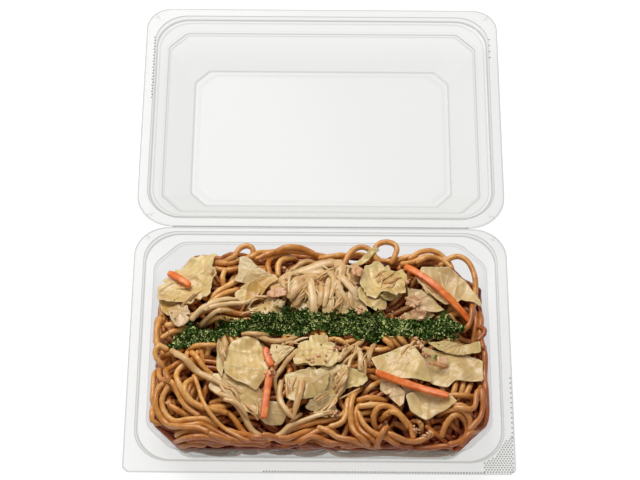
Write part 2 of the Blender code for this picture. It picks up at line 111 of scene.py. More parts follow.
# ---- Tray --------------------------------------------------------------------------------------------
# One clear thermoformed sheet, half a millimetre thick: flange, rim step, ledge, body walls and floor.
# Bends are small radii pressed into the sheet. The front right corner of the flange is a dotted grip.
SHEET = 0.5
TRAY_FRONT, HINGE_Y = -73.0, 74.3
RIM = (94.5, -66.2, 71.1)               # rim step: half width, front, back
BODY = (87.9, -58.2, 64.5)              # top of the body walls
WALL_TAPER = 4.6
FLANGE_Z, SHOULDER_Z, BODY_TOP_Z, WALL_FOOT_Z = 24.0, 22.5, 21.5, 1.8
ARC_STEPS = 6
SIDE_STEPS = (44, 30, 44, 30)           # points along the front, right, back and left sides


def corner_points(corner, turn, leg, radius):
    """A corner cut at 45 degrees: two arcs of the radius, one where each side meets the cut."""
    heading = turn * math.pi / 2
    along = np.array([math.cos(heading), math.sin(heading)])
    left = np.array([-along[1], along[0]])
    angle = np.linspace(0, math.pi / 4, ARC_STEPS + 1)[:, None]
    arcs = []
    for base, way in ((corner - leg * along, along), (corner + leg * left, (along + left) / math.sqrt(2))):
        start = base - way * radius * math.tan(math.pi / 8)
        side = np.array([-way[1], way[0]])
        arcs.append(start + radius * (np.sin(angle) * way + (1 - np.cos(angle)) * side))
    return np.concatenate(arcs)


def outline(half, front, back, front_leg, front_radius, back_leg, back_radius):
    """Closed outline of a rectangle with cut and rounded corners, each straight side evenly divided."""
    corners = [corner_points(np.array([half, front]), 0, front_leg, front_radius),
               corner_points(np.array([half, back]), 1, back_leg, back_radius),
               corner_points(np.array([-half, back]), 2, back_leg, back_radius),
               corner_points(np.array([-half, front]), 3, front_leg, front_radius)]
    points = []
    for k, corner in enumerate(corners):
        share = np.linspace(0, 1, SIDE_STEPS[k], endpoint=False)[1:, None]
        points += [corners[k - 1][-1] + (corner[0] - corners[k - 1][-1]) * share, corner]
    return np.concatenate(points)


def bent_profile(rows, bend, painted_line_strength, steps=4):
    """Rounds a profile: each inner row gives way to a parabola between points a bend's length from it.

    A row is the seven sizes of an outline and its height. Returns the rows, and how near each is to the
    middle of a bend, from 0 to 1, times how sharply the sheet turns there or a given strength; by this number
    the film paints a dark line, painted shade in place of the light a real bend refracts.
    """
    rows = np.array(rows, dtype=float)
    kept, edge = [rows[:1]], [np.array([0.7])]
    for number, (before, here, after) in enumerate(zip(rows[:-2], rows[1:-1], rows[2:]), 1):
        runs = [np.linalg.norm((other - here)[[1, 7]]) for other in (before, after)]
        start, end = (here + (other - here) * min(0.45, bend / run)
                      for other, run in zip((before, after), runs))
        t = np.linspace(0, 1, steps + 1)[:, None]
        kept.append((1 - t) ** 2 * start + 2 * t * (1 - t) * here + t ** 2 * end)
        ways = [(here - before)[[1, 7]] / runs[0], (after - here)[[1, 7]] / runs[1]]
        sharp = min(1.0, 1.3 * math.acos(np.clip(ways[0] @ ways[1], -1, 1)) / (math.pi / 2))
        edge.append(painted_line_strength.get(number, sharp) * np.sin(t[:, 0] * math.pi) ** 2)
    kept.append(rows[-1:])
    edge.append(np.array([0.0]))
    return np.concatenate(kept), np.concatenate(edge)


def fill_mesh(name, points, quads, triangles, smooth=True):
    """A new object from arrays: points in millimetres, then its four- and three-sided faces."""
    quads = np.asarray(quads, dtype=np.int32).reshape(-1, 4)
    triangles = np.asarray(triangles, dtype=np.int32).reshape(-1, 3)
    mesh = bpy.data.meshes.new(name)
    mesh.vertices.add(len(points))
    mesh.vertices.foreach_set("co", (np.asarray(points, dtype=np.float32) * MM).ravel())
    mesh.loops.add(quads.size + triangles.size)
    mesh.loops.foreach_set("vertex_index", np.concatenate((quads.ravel(), triangles.ravel())))
    starts = np.concatenate((np.arange(len(quads)) * 4, quads.size + np.arange(len(triangles)) * 3))
    mesh.polygons.add(len(starts))
    mesh.polygons.foreach_set("loop_start", starts.astype(np.int32))
    mesh.polygons.foreach_set("use_smooth", np.full(len(starts), smooth))
    mesh.update(calc_edges=True)
    mesh.validate()
    made = bpy.data.objects.new(name, mesh)
    scene.collection.objects.link(made)
    return made


def paint(piece, **values):
    """Stores one number per point under each name, for the materials to read."""
    for name, numbers in values.items():
        piece.data.attributes.new(name, "FLOAT", "POINT").data.foreach_set(
            "value", np.asarray(numbers, dtype=np.float32).ravel())


def ring_quads(rows, columns):
    """Faces between neighbouring rows of a grid whose rows are closed rings."""
    index = np.arange(rows * columns).reshape(rows, columns)
    turned = np.roll(index, -1, axis=1)
    return np.stack((index[:-1], turned[:-1], turned[1:], index[1:]), -1).reshape(-1, 4)


def pressed_sheet(name, rows, bend, painted_line_strength=None):
    """A sheet lofted through outlines from its edge inwards and closed by its flat middle.

    The painted line strength, where given, sets for some rows how dark the painted shade line along the bend
    is, in place of how sharply the sheet turns there.
    """
    profile, edge = bent_profile(rows, bend, painted_line_strength or {})
    rings = [np.column_stack((outline(*row[:7]), np.full(sum(SIDE_STEPS) - 4 + 8 * (ARC_STEPS + 1), row[7])))
             for row in profile]
    count = len(rings[0])
    middle = rings[-1].mean(axis=0)
    points = np.concatenate(rings + [middle[None, :]])
    last = (len(rings) - 1) * count + np.arange(count)
    fan = np.column_stack((last, np.roll(last, -1), np.full(count, len(points) - 1)))
    sheet = fill_mesh(name, points, ring_quads(len(rings), count), fan)
    paint(sheet, ridge=np.append(np.repeat(edge, count), 0.0))
    wall = sheet.modifiers.new("thickness", "SOLIDIFY")
    wall.thickness = SHEET * MM
    wall.offset = -1.0
    return sheet


def node(tree, kind, inputs=None, **settings):
    """A new shader node with its settings, and its inputs set to a value or linked to another socket."""
    made = tree.nodes.new(kind)
    for name, value in settings.items():
        setattr(made, name, value)
    for name, value in (inputs or {}).items():
        if isinstance(value, bpy.types.NodeSocket):
            tree.links.new(value, made.inputs[name])
        else:
            made.inputs[name].default_value = value
    return made


def blank_material(name):
    """A new material: its node tree, and its Principled shader."""
    made = bpy.data.materials.new(name)
    made.use_nodes = True
    return made, made.node_tree, made.node_tree.nodes["Principled BSDF"]


def colour_steps(tree, factor, steps):
    """A colour ramp through (position, colour) steps, read at the factor."""
    ramp = node(tree, "ShaderNodeValToRGB", {"Fac": factor})
    while len(ramp.color_ramp.elements) < len(steps):
        ramp.color_ramp.elements.new(0.5)
    for stop, (place, colour) in zip(ramp.color_ramp.elements, steps):
        stop.position = place
        stop.color = tuple(colour) + (1.0,)
    return ramp.outputs["Color"]


def math_node(tree, operation, *values):
    """One step of arithmetic on sockets or numbers, kept between 0 and 1."""
    made = node(tree, "ShaderNodeMath", dict(enumerate(values)), operation=operation, use_clamp=True)
    return made.outputs[0]


def clear_sheet_material(name):
    """Clear film: almost nothing face on, greyer edge on, and a darker, more opaque line along each bend, painted
    shade in place of the light a real bend refracts.
    """
    made, tree, shader = blank_material(name)
    slant = node(tree, "ShaderNodeLayerWeight", {"Blend": 0.5}).outputs["Facing"]
    ridge = node(tree, "ShaderNodeAttribute", attribute_name="ridge").outputs["Fac"]
    steep = math_node(tree, "POWER", slant, 3.0)
    body = math_node(tree, "MULTIPLY_ADD", steep, 0.16, 0.115)
    # painted shade: along each bend the film is more opaque and darker, in place of the light a real bend refracts
    alpha = math_node(tree, "MULTIPLY_ADD", ridge, 0.24, body)
    tint = colour_steps(tree, ridge, [(0.0, (0.15, 0.155, 0.085)), (0.7, (0.10, 0.105, 0.075))])
    tree.links.new(alpha, shader.inputs["Alpha"])
    tree.links.new(tint, shader.inputs["Base Color"])
    shader.inputs["Roughness"].default_value = 0.14
    shader.inputs["Specular IOR Level"].default_value = 0.36
    return made


def shrink(box, amount):
    """A (half width, front, back) rectangle made smaller by the same amount on every side."""
    return (box[0] - amount, box[1] + amount, box[2] - amount)


ROUND = (18 * (2 - math.sqrt(2)), 18.0)         # leg and radius of the round rim corners
BODY_CORNER = (14.0, 10.0)
TRAY_EDGE = (100.0, TRAY_FRONT, HINGE_Y - 0.15)
tray_rows = [
    (*TRAY_EDGE, 2.6, 1.0, *ROUND, FLANGE_Z - 0.5),
    (*shrink(TRAY_EDGE, 0.35), 2.6, 1.0, *ROUND, FLANGE_Z - 0.05),
    (*shrink(TRAY_EDGE, 1.5), 2.6, 1.0, *ROUND, FLANGE_Z),
    (*shrink(RIM, -1.2), *ROUND, *ROUND, FLANGE_Z),
    (*RIM, *ROUND, *ROUND, FLANGE_Z),
    (*shrink(RIM, 0.9), *ROUND, *ROUND, SHOULDER_Z),
    (*shrink(BODY, -0.9), *BODY_CORNER, *BODY_CORNER, SHOULDER_Z),
    (*BODY, *BODY_CORNER, *BODY_CORNER, BODY_TOP_Z),
    (*shrink(BODY, WALL_TAPER), *BODY_CORNER, *BODY_CORNER, WALL_FOOT_Z),
    (*shrink(BODY, WALL_TAPER + 1.6), *BODY_CORNER, *BODY_CORNER, SHEET),
    (*shrink(BODY, 30), *BODY_CORNER, *BODY_CORNER, SHEET),
]
clear_sheet = clear_sheet_material("clear_sheet")
tray_sheet = pressed_sheet("tray_sheet", tray_rows, 0.7)
tray_sheet.data.materials.append(clear_sheet)
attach(tray_sheet, "tray")
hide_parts("tray")


def domes(places, radius, height, base_z):
    """Low round bumps pressed downwards: at each place two rings and a lowest point, closed by the sheet."""
    turns = np.linspace(0, 2 * math.pi, 8, endpoint=False)
    ring = np.stack((np.cos(turns), np.sin(turns), np.zeros(8)), -1)
    shape = np.concatenate((ring * radius, ring * radius * 0.7 - [0, 0, height * 0.7], [[0, 0, -height]],
                            [[0, 0, 0.05]]))
    places = np.asarray(places, dtype=float)
    centres = np.column_stack((places, np.full(len(places), base_z)))
    points = (centres[:, None, :] + shape[None, :, :]).reshape(-1, 3)
    quads = ring_quads(2, 8)[:, ::-1]
    around = np.arange(8)
    tip = np.column_stack((8 + np.roll(around, -1), 8 + around, np.full(8, 16)))
    root = np.column_stack((around, np.roll(around, -1), np.full(8, 17)))
    shift = (np.arange(len(places)) * len(shape))[:, None, None]
    return points, (quads[None] + shift).reshape(-1, 4), (np.concatenate((tip, root))[None] + shift).reshape(-1, 3)


GRIP_LEG, DOT_PITCH = 21.0, 1.45
grip = np.array([(98.6 - DOT_PITCH * i - 0.5 * DOT_PITCH * (j % 2), -71.4 + DOT_PITCH * j * 0.87)
                 for j in range(17) for i in range(16)])
beyond_rim = (grip[:, 0] > 84) & ((98.6 - grip[:, 0]) + (grip[:, 1] + 71.4) < GRIP_LEG)
ledge = np.hypot(np.clip(grip[:, 0] - 76.5, 0, None), np.clip(-48.2 - grip[:, 1], 0, None)) > 19.4
edge_dots = [(x, -71.9) for x in np.arange(-28, 84, DOT_PITCH)]
side_dots = [(98.9, y) for y in np.arange(-52, -16, 2 * DOT_PITCH)]
grip_dots = fill_mesh("tray_grip_dots", *domes(np.concatenate((grip[beyond_rim & ledge], edge_dots, side_dots)),
                                               0.5, 0.3, FLANGE_Z - SHEET))
# painted shade: the whole dot gets the full dark line of a bend
paint(grip_dots, ridge=np.full(len(grip_dots.data.vertices), 1.0))
grip_dots.data.materials.append(clear_sheet)
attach(grip_dots, "tray")

# ---- Lid ---------------------------------------------------------------------------------------------
# The same clear sheet, laid open behind the tray with its hollow side up: flange, rim that snaps over the
# tray's, a ridge with cut corners, long sloping sides and a flat panel with a faint frame pressed in it.
LID_NEAR, LID_FAR = HINGE_Y + 0.15, HINGE_Y + 1.3 + 147.0
LID_RIM = (94.5, HINGE_Y + 1.3 + 5.5, LID_FAR - 5.5)
LID_EDGE = (100.0, LID_NEAR, LID_FAR)
LID_CORNERS = (20 * (2 - math.sqrt(2)), 20.0, 14 * (2 - math.sqrt(2)), 14.0)
RIDGE, PANEL = shrink(LID_RIM, 7.5), shrink(LID_RIM, 22.0)
RIDGE_CORNER, PANEL_CORNER = (10.0, 4.0), (8.0, 3.0)
lid_rows = [
    (*LID_EDGE, *LID_CORNERS, FLANGE_Z - 0.5),
    (*shrink(LID_EDGE, 0.35), *LID_CORNERS, FLANGE_Z - 0.05),
    (*shrink(LID_EDGE, 1.5), *LID_CORNERS, FLANGE_Z),
    (*shrink(LID_RIM, -1.2), *ROUND, *ROUND, FLANGE_Z),
    (*LID_RIM, *ROUND, *ROUND, FLANGE_Z),
    (*shrink(LID_RIM, 0.8), *ROUND, *ROUND, FLANGE_Z - 3.0),
    (*shrink(LID_RIM, 2.6), *ROUND, *ROUND, FLANGE_Z - 3.3),
    (*shrink(RIDGE, -1.2), *RIDGE_CORNER, *RIDGE_CORNER, FLANGE_Z - 6.0),
    (*RIDGE, *RIDGE_CORNER, *RIDGE_CORNER, FLANGE_Z - 6.7),
    (*shrink(RIDGE, 0.9), *RIDGE_CORNER, *RIDGE_CORNER, FLANGE_Z - 7.6),
    (*shrink(PANEL, -1.6), *PANEL_CORNER, *PANEL_CORNER, SHEET + 1.9),
    (*PANEL, *PANEL_CORNER, *PANEL_CORNER, SHEET),
    (*shrink(PANEL, 2.6), *PANEL_CORNER, *PANEL_CORNER, SHEET),
    (*shrink(PANEL, 3.3), *PANEL_CORNER, *PANEL_CORNER, SHEET + 0.2),
    (*shrink(PANEL, 30.0), *PANEL_CORNER, *PANEL_CORNER, SHEET + 0.2),
]
# The numbers set how dark the painted shade line is at the ridge and at the panel's edge and faint frame.
lid_sheet = pressed_sheet("lid_sheet", lid_rows, 0.8, {8: 0.8, 9: 0.4, 11: 0.5, 12: 0.12, 13: 0.1})
lid_sheet.data.materials.append(clear_sheet)
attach(lid_sheet, "lid")
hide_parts("lid")

# Small studs pressed in the rim step's far corners keep stacked lids apart.
stud_y = np.arange(160.0, 203.0, 2.1)
studs = [(-95.3 + 0.35 * (k % 2), y) for k, y in enumerate(stud_y)] + [(95.3, y) for y in stud_y[14::2]]
stack_studs = fill_mesh("lid_stack_studs", *domes(studs, 0.55, 0.3, FLANGE_Z - SHEET))
# painted shade: the whole stud gets the full dark line of a bend
paint(stack_studs, ridge=np.full(len(stack_studs.data.vertices), 1.0))
stack_studs.data.materials.append(clear_sheet)
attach(stack_studs, "lid")

# ---- Crease ------------------------------------------------------------------------------------------
# The film between tray and lid, thinned by the press so that it folds: a strip a third of a millimetre high.
CREASE_HALF = 80.0
across = np.linspace(-CREASE_HALF, CREASE_HALF, 41)
section = np.array([(-0.35, 0.02), (-0.15, 0.1), (0.0, 0.14), (0.15, 0.1), (0.35, 0.02), (0.15, 0.01),
                    (0.0, 0.05), (-0.15, 0.01)])
strip = np.stack([np.column_stack((np.full(8, x), HINGE_Y + section[:, 0], FLANGE_Z + section[:, 1]))
                  for x in across]).reshape(-1, 3)
start_cap = [(0, 1, 2, 7), (2, 3, 6, 7), (3, 4, 5, 6)]
end = (len(across) - 1) * 8
end_cap = [tuple(end + k for k in face[::-1]) for face in start_cap]
crease = fill_mesh("crease_film", strip, np.concatenate((ring_quads(len(across), 8)[:, ::-1],
                                                         np.array(start_cap)[:, ::-1],
                                                         np.array(end_cap)[:, ::-1])), [])
# painted shade: a dark line along the crease, as at a bend
paint(crease, ridge=np.full(len(strip), 0.8))
crease.data.materials.append(clear_sheet)
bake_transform(crease)

# ---- Noodles -----------------------------------------------------------------------------------------
# Steamed wheat noodles fried in sauce, about 3 mm thick and glossy with oil. They are tipped into the
# tray in loose bundles, so each strand lies on those under it, bridges the gaps and curls at the walls.
HEAP_EDGE, HEAP_CROWN, HEAP_CENTRE = 20.6, 10.4, 3.0
CORE_DEPTH = 10.0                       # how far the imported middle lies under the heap's top
NOODLE = 1.5                            # usual radius
chance = np.random.default_rng(11)


def heap_top(x, y):
    """Height of the noodles: low at the walls, a broad crown, and the lumps that the strands make."""
    u = np.abs(x) / BODY[0]
    v = np.abs(y - HEAP_CENTRE) / ((BODY[2] - BODY[1]) / 2)
    crown = np.clip(1 - u ** 3.4, 0, 1) * np.clip(1 - v ** 2.8, 0, 1)
    lumps = 0.9 * np.sin(x / 6.1 + 1.4 * np.sin(y / 13.0)) * np.cos(y / 8.3 + 0.8 * np.sin(x / 17.0))
    swell = 0.8 * np.sin(x / 21.0 + 0.6) * np.sin(y / 16.0 + 1.1)
    return HEAP_EDGE + HEAP_CROWN * crown + (lumps + swell) * (0.35 + 0.65 * crown)


class Pile:
    """A height for every cell of a rectangle. Things are laid on it one after another."""

    def __init__(self, low, high, ground, cell=0.6):
        self.low = np.array(low, dtype=float)
        self.cell = cell
        self.x = np.arange(low[0], high[0] + cell, cell)
        self.y = np.arange(low[1], high[1] + cell, cell)
        self.height = ground(*np.meshgrid(self.x, self.y))

    def cells(self, flat):
        """Row and column of the cell that holds each place."""
        column = np.rint((flat[..., 0] - self.low[0]) / self.cell).astype(int)
        row = np.rint((flat[..., 1] - self.low[1]) / self.cell).astype(int)
        return np.clip(row, 0, len(self.y) - 1), np.clip(column, 0, len(self.x) - 1)

    def at(self, flat):
        return self.height[self.cells(flat)]

    def rest(self, flat, radius, settle=30):
        """Height at which a round strand lies along a route.

        Each point stands on the highest cell under its round belly. Then, as in a slack string, a point
        lower than the mean of its neighbours rises to it, many times over, and the line is smoothed.
        """
        turns = np.arange(6) * math.pi / 3
        spots = np.concatenate(([[0, 0]], 0.5 * np.column_stack((np.cos(turns), np.sin(turns))),
                                0.88 * np.column_stack((np.cos(turns + 0.5), np.sin(turns + 0.5)))))
        belly = np.sqrt(1 - (spots ** 2).sum(axis=1))
        near = flat[:, None, :] + spots[None] * np.broadcast_to(radius, len(flat))[:, None, None]
        need = (self.at(near) + belly[None] * np.broadcast_to(radius, len(flat))[:, None]).max(axis=1)
        z = need.copy()
        for _ in range(settle):
            z[1:-1] = np.maximum(need[1:-1], (z[:-2] + 2 * z[1:-1] + z[2:]) / 4)
        for _ in range(4):
            z[1:-1] = (z[:-2] + 2 * z[1:-1] + z[2:]) / 4
        return z

    def cover(self, flat, z, radius):
        """Raises the cells under a laid strand to its upper side."""
        reach = np.arange(-3, 4) * self.cell
        dx, dy = (a.ravel() for a in np.meshgrid(reach, reach))
        radius = np.broadcast_to(radius, len(flat))
        share = 1 - (dx ** 2 + dy ** 2)[None] / radius[:, None] ** 2
        top = np.where(share > 0, z[:, None] + radius[:, None] * np.sqrt(np.clip(share, 0, 1)), -99.0)
        near = flat[:, None, :] + np.column_stack((dx, dy))[None]
        row, column = self.cells(near)
        np.maximum.at(self.height, (row.ravel(), column.ravel()), top.ravel())


def even_points(line, spacing):
    """Evenly spaced points along a line of many short steps."""
    steps = np.concatenate(([0.0], np.cumsum(np.linalg.norm(np.diff(line, axis=0), axis=1))))
    even = np.linspace(0, steps[-1], max(4, int(round(steps[-1] / spacing)) + 1))
    return np.column_stack([np.interp(even, steps, line[:, k]) for k in range(line.shape[1])])


def smooth_route(route, spacing=1.2):
    """Evenly spaced points on the Catmull-Rom curve through the given places."""
    given = np.array(route, dtype=float)
    given = np.vstack((2 * given[0] - given[1], given, 2 * given[-1] - given[-2]))
    t = np.linspace(0, 1, 24, endpoint=False)[:, None]
    spans = [0.5 * (2 * b + (c - a) * t + (2 * a - 5 * b + 4 * c - d) * t ** 2
                    + (3 * b - a - 3 * c + d) * t ** 3)
             for a, b, c, d in zip(given, given[1:], given[2:], given[3:])]
    return even_points(np.vstack(spans + [given[-2:-1]]), spacing)


def beside(flat, offset):
    """The route moved sideways by the offset, to its left."""
    way = np.gradient(flat, axis=0)
    way /= np.linalg.norm(way, axis=1)[:, None] + 1e-9
    return flat + np.column_stack((-way[:, 1], way[:, 0])) * np.broadcast_to(offset, len(flat))[:, None]


def push_inside(flat, planes, offsets):
    """Moves each point back inside the planes: along a plane's normal by what it is beyond the offset."""
    flat = flat.copy()
    for _ in range(2):
        for normal, offset in zip(planes, offsets):
            flat -= normal * np.clip(flat @ normal - offset, 0, None)[:, None]
    return flat


def wander(planes, offsets, low, high, count, steps, step, turn, reach=11.0):
    """Routes of strands that fell freely: the heading swings by slow noise and turns away from walls.

    Each route has its own steady bend. The noise is a sum of three waves of random length and phase.
    """
    place = chance.uniform(low, high, (count, 2))
    heading = chance.uniform(0, 2 * math.pi, count)
    run = np.arange(steps) * step
    waves = sum(chance.uniform(0.3, 1.0, (count, 1))
                * np.sin(run[None] / chance.uniform(6, 26, (count, 1)) + chance.uniform(0, 6.3, (count, 1)))
                for _ in range(3))
    bend = turn * (waves + chance.normal(0, 0.5, (count, 1)))
    routes = np.empty((count, steps, 2))
    for k in range(steps):
        routes[:, k] = place
        way = np.column_stack((np.cos(heading), np.sin(heading)))
        gaps = np.stack([offset - place @ normal for normal, offset in zip(planes, offsets)], axis=1)
        nearest = np.argmin(gaps, axis=1)
        inward = -np.array(planes)[nearest]
        tight = np.clip(1 - gaps[np.arange(count), nearest] / reach, 0, 1.6)
        cross = way[:, 0] * inward[:, 1] - way[:, 1] * inward[:, 0]
        facing = np.clip(0.35 - (way * inward).sum(axis=1), 0, 1)
        steer = tight * facing * np.sign(cross) * step / 5.0
        heading = heading + np.clip(bend[:, k] * step * (1 - 0.7 * np.clip(tight, 0, 1)) + steer,
                                    -step / 4.6, step / 4.6)
        place = place + step * np.column_stack((np.cos(heading), np.sin(heading)))
    return routes


def octagon(inset, legs=(14.0, 14.0, 14.0, 14.0)):
    """The body's eight walls seen from above, as outward normals and distances from the origin.

    legs are the corner cuts at front left, front right, back left and back right.
    """
    half, front, back = BODY[0] - inset, BODY[1] + inset, BODY[2] - inset
    cut = 1 / math.sqrt(2)
    planes = np.array([(1, 0), (-1, 0), (0, -1), (0, 1), (-cut, -cut), (cut, -cut), (-cut, cut), (cut, cut)])
    offsets = [half, half, -front, back, (half - front - legs[0]) * cut, (half - front - legs[1]) * cut,
               (half + back - legs[2]) * cut, (half + back - legs[3]) * cut]
    return planes, offsets


def inside_walls(points, radius):
    """Keeps a strand's middle line a radius inside the tapering walls of the body."""
    depth = np.clip((BODY_TOP_Z - points[:, 2]) / (BODY_TOP_Z - WALL_FOOT_Z), 0, 1)
    flat = points[:, :2].copy()
    inset = WALL_TAPER * depth + radius + 0.35
    planes, at_top = octagon(0.0)
    _, lower = octagon(1.0)
    for _ in range(2):
        for normal, top, low in zip(planes, at_top, lower):
            limit = top - (top - low) * inset
            flat -= normal * np.clip(flat @ normal - limit, 0, None)[:, None]
    return np.column_stack((flat, points[:, 2]))


def tube(path, radius, sides, flat=1.0, groove=0.0):
    """A round section carried along the path, closed at each end by a dome of two shrinking rings.

    The section's plane is square to the path; its first axis is level. Its height is flat times its
    width, and grooves run along it as a wave of seven round the section. Returns points, faces, and how
    far along the path each point lies.
    """
    radius = np.broadcast_to(radius, len(path))
    way = np.gradient(path, axis=0)
    way /= np.linalg.norm(way, axis=1)[:, None] + 1e-9
    first, last = way[0] * radius[0], way[-1] * radius[-1]
    path = np.vstack((path[0] - 0.85 * first, path[0] - 0.5 * first, path, path[-1] + 0.5 * last,
                      path[-1] + 0.85 * last))
    radius = np.concatenate(([0.45 * radius[0], 0.84 * radius[0]], radius, [0.84 * radius[-1],
                                                                          0.45 * radius[-1]]))
    way = np.vstack((way[:1], way[:1], way, way[-1:], way[-1:]))
    level = np.column_stack((way[:, 1], -way[:, 0], np.zeros(len(way))))
    level /= np.linalg.norm(level, axis=1)[:, None] + 1e-9
    upright = np.cross(level, way)
    turns = np.linspace(0, 2 * math.pi, sides, endpoint=False)
    swell = (1 + groove * np.cos(7 * turns))[None, :, None]
    rings = path[:, None] + radius[:, None, None] * swell * (
        np.cos(turns)[None, :, None] * level[:, None] + flat * np.sin(turns)[None, :, None] * upright[:, None])
    count = len(path)
    points = np.concatenate((rings.reshape(-1, 3), path[:1] - 0.12 * first, path[-1:] + 0.12 * last))
    quads = ring_quads(count, sides)
    start, end = np.arange(sides), (count - 1) * sides + np.arange(sides)
    fans = np.concatenate((np.column_stack((np.roll(start, -1), start, np.full(sides, count * sides))),
                           np.column_stack((end, np.roll(end, -1), np.full(sides, count * sides + 1)))))
    run = np.concatenate(([0.0], np.cumsum(np.linalg.norm(np.diff(path, axis=0), axis=1))))
    return points, quads, fans, np.concatenate((np.repeat(run, sides), [0.0, run[-1]]))


class Batch:
    """Collects many small closed shapes, then makes them one or more pieces."""

    def __init__(self):
        self.parts = []

    def add(self, points, quads, triangles, **values):
        self.parts.append((points, quads, triangles, values))

    def finish(self, name, surface, body, limit=190000):
        groups, size = [[]], 0
        for part in self.parts:
            faces = 2 * len(part[1]) + len(part[2])
            if size + faces > limit:
                groups.append([])
                size = 0
            groups[-1].append(part)
            size += faces
        made = []
        for number, group in enumerate(groups):
            shifts = np.cumsum([0] + [len(part[0]) for part in group[:-1]])
            points = np.concatenate([part[0] for part in group])
            quads = np.concatenate([part[1] + shift for part, shift in zip(group, shifts)])
            fans = np.concatenate([part[2] + shift for part, shift in zip(group, shifts)])
            piece = fill_mesh(name if len(groups) == 1 else f"{name}_{number + 1}", points, quads, fans)
            paint(piece, **{key: np.concatenate([np.broadcast_to(part[3][key], len(part[0])) for part in group])
                            for key in group[0][3]})
            piece.data.materials.append(surface)
            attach(piece, body)
            made.append(piece)
        return made


def tucked(z, spacing, sink, length=6.0):
    """Lowers both ends of a strand, so that they go in among its neighbours."""
    run = np.arange(len(z)) * spacing
    near_end = np.clip(1 - np.minimum(run, run[::-1]) / length, 0, 1)
    return z - sink * near_end ** 2 * (3 - 2 * near_end)


noodle_batch = Batch()
STEP = 1.2


def lay_noodle(pile, flat, radius, tone, sides=8, sink=2.2, to_place=None, settle=30):
    """Lays one strand on a pile and adds its tube; to_place maps the pile's coordinates to the tray's."""
    z = pile.rest(flat, radius, settle)
    pile.cover(flat, z, radius)
    path = np.column_stack((flat, tucked(z, STEP, sink)))
    path = to_place(path) if to_place else inside_walls(path, radius)
    path = path[::2] if len(path) % 2 else np.vstack((path[::2], path[-1:]))
    swell = 1 + 0.05 * np.sin(np.arange(len(path)) * 0.55 + tone * 40)
    points, quads, fans, run = tube(path, radius * swell, sides)
    noodle_batch.add(points, quads, fans, tone=tone, run=run, sauce=shade_and_sauce_at(points))


def shade_and_sauce_at(points):
    """Painted shade, partly real sauce, at a place, 0 to 1: most near the front and side walls, the right far more,
    and down in the heap.
    """
    x, y, z = points.T
    # painted shade: the right wall far darker than the left, as the light comes from the left
    side = np.where(x > 0, 1.3, 0.2) * np.exp(-np.clip(BODY[0] - np.abs(x), 0, None) / np.where(x > 0, 10.0, 8.0))
    wall = np.exp(-np.clip(y - BODY[1], 0, None) / np.clip(7 + x / 6, 7, 10)) + side
    deep = np.clip((heap_top(x, y) - 1.0 - z) / 5.5, 0, 1)
    return np.clip(0.75 * wall + 0.9 * deep, 0, 1)


def lay_bundles(pile, routes, target, wanted, to_place=None, sink=2.2, choices=10):
    """Fills a pile up to its target: of a few random routes, the one over the lowest ground goes next."""
    used = np.zeros(len(routes), dtype=bool)
    for _ in range(wanted):
        picks = chance.choice(np.flatnonzero(~used), choices, replace=False)
        lack = [np.mean(target(routes[k][::3]) - pile.at(routes[k][::3])) for k in picks]
        best = picks[int(np.argmax(lack))]
        if max(lack) < 0.6:
            break
        used[best] = True
        strands = chance.integers(1, 4)
        for lane in range(strands):
            offset = (lane - (strands - 1) / 2) * 3.1 + chance.normal(0, 0.3)
            cut = chance.integers(0, 6, 2)
            flat = beside(routes[best], offset)[cut[0]:len(routes[best]) - cut[1]]
            lay_noodle(pile, flat, NOODLE * chance.uniform(0.88, 1.08), chance.uniform(), to_place=to_place,
                       sink=sink)


# How much of each corner the food leaves free: front left, front right, back left, back right.
FOOD_CORNERS = (15.0, 15.0, 28.0, 25.0)
FOOD_BACK = 57.5                        # the loose bundles end here; only a few strands go on to the wall

# The floor of the tray: strands pressed flat against it.
floor_planes, floor_offsets = octagon(WALL_TAPER + 3.0)
floor_pile = Pile((-90, -62), (90, 68), lambda x, y: np.full(x.shape, SHEET + 0.1), cell=0.9)
for route in wander(floor_planes, floor_offsets, (-80, -50), (80, 56), 130, 70, STEP, 0.045):
    if np.mean(floor_pile.at(route)) < 3.0:
        for offset in (-1.55, 1.55):
            lay_noodle(floor_pile, push_inside(beside(route, offset), floor_planes, floor_offsets),
                       NOODLE, chance.uniform(), sides=6, sink=-0.6)

# The walls: strands against the clear sheet, laid on the wall as if it were unrolled.
wall_planes, wall_offsets = octagon(0.0)
half, front, back = BODY
wall_corners = np.concatenate([corner_points(np.array(place), turn, leg, 8.0) for place, turn, leg in (
    ((half, front), 0, FOOD_CORNERS[1]), ((half, back - 3), 1, FOOD_CORNERS[3] - 4),
    ((-half, back - 3), 2, FOOD_CORNERS[2]), ((-half, front), 3, FOOD_CORNERS[0]))])
wall_line = even_points(np.vstack((wall_corners, wall_corners[:1])), 1.0)
wall_length = len(wall_line) - 1.0
wall_normal = np.gradient(wall_line, axis=0)
wall_normal = np.column_stack((-wall_normal[:, 1], wall_normal[:, 0]))
for _ in range(6):
    wall_normal = (np.roll(wall_normal, 1, axis=0) + wall_normal + np.roll(wall_normal, -1, axis=0)) / 3
wall_normal /= np.linalg.norm(wall_normal, axis=1)[:, None]


def off_the_wall(path):
    """From (distance round the wall, height, distance in from it) to a place in the tray."""
    run = np.clip(path[:, 0], 0, wall_length)
    place = np.column_stack([np.interp(run, np.arange(len(wall_line)), wall_line[:, k]) for k in (0, 1)])
    inward = np.column_stack([np.interp(run, np.arange(len(wall_line)), wall_normal[:, k]) for k in (0, 1)])
    depth = np.clip((BODY_TOP_Z - path[:, 1]) / (BODY_TOP_Z - WALL_FOOT_Z), 0, 1)
    inset = WALL_TAPER * depth + path[:, 2]
    return inside_walls(np.column_stack((place + inward * inset[:, None], path[:, 1])), 1.3)


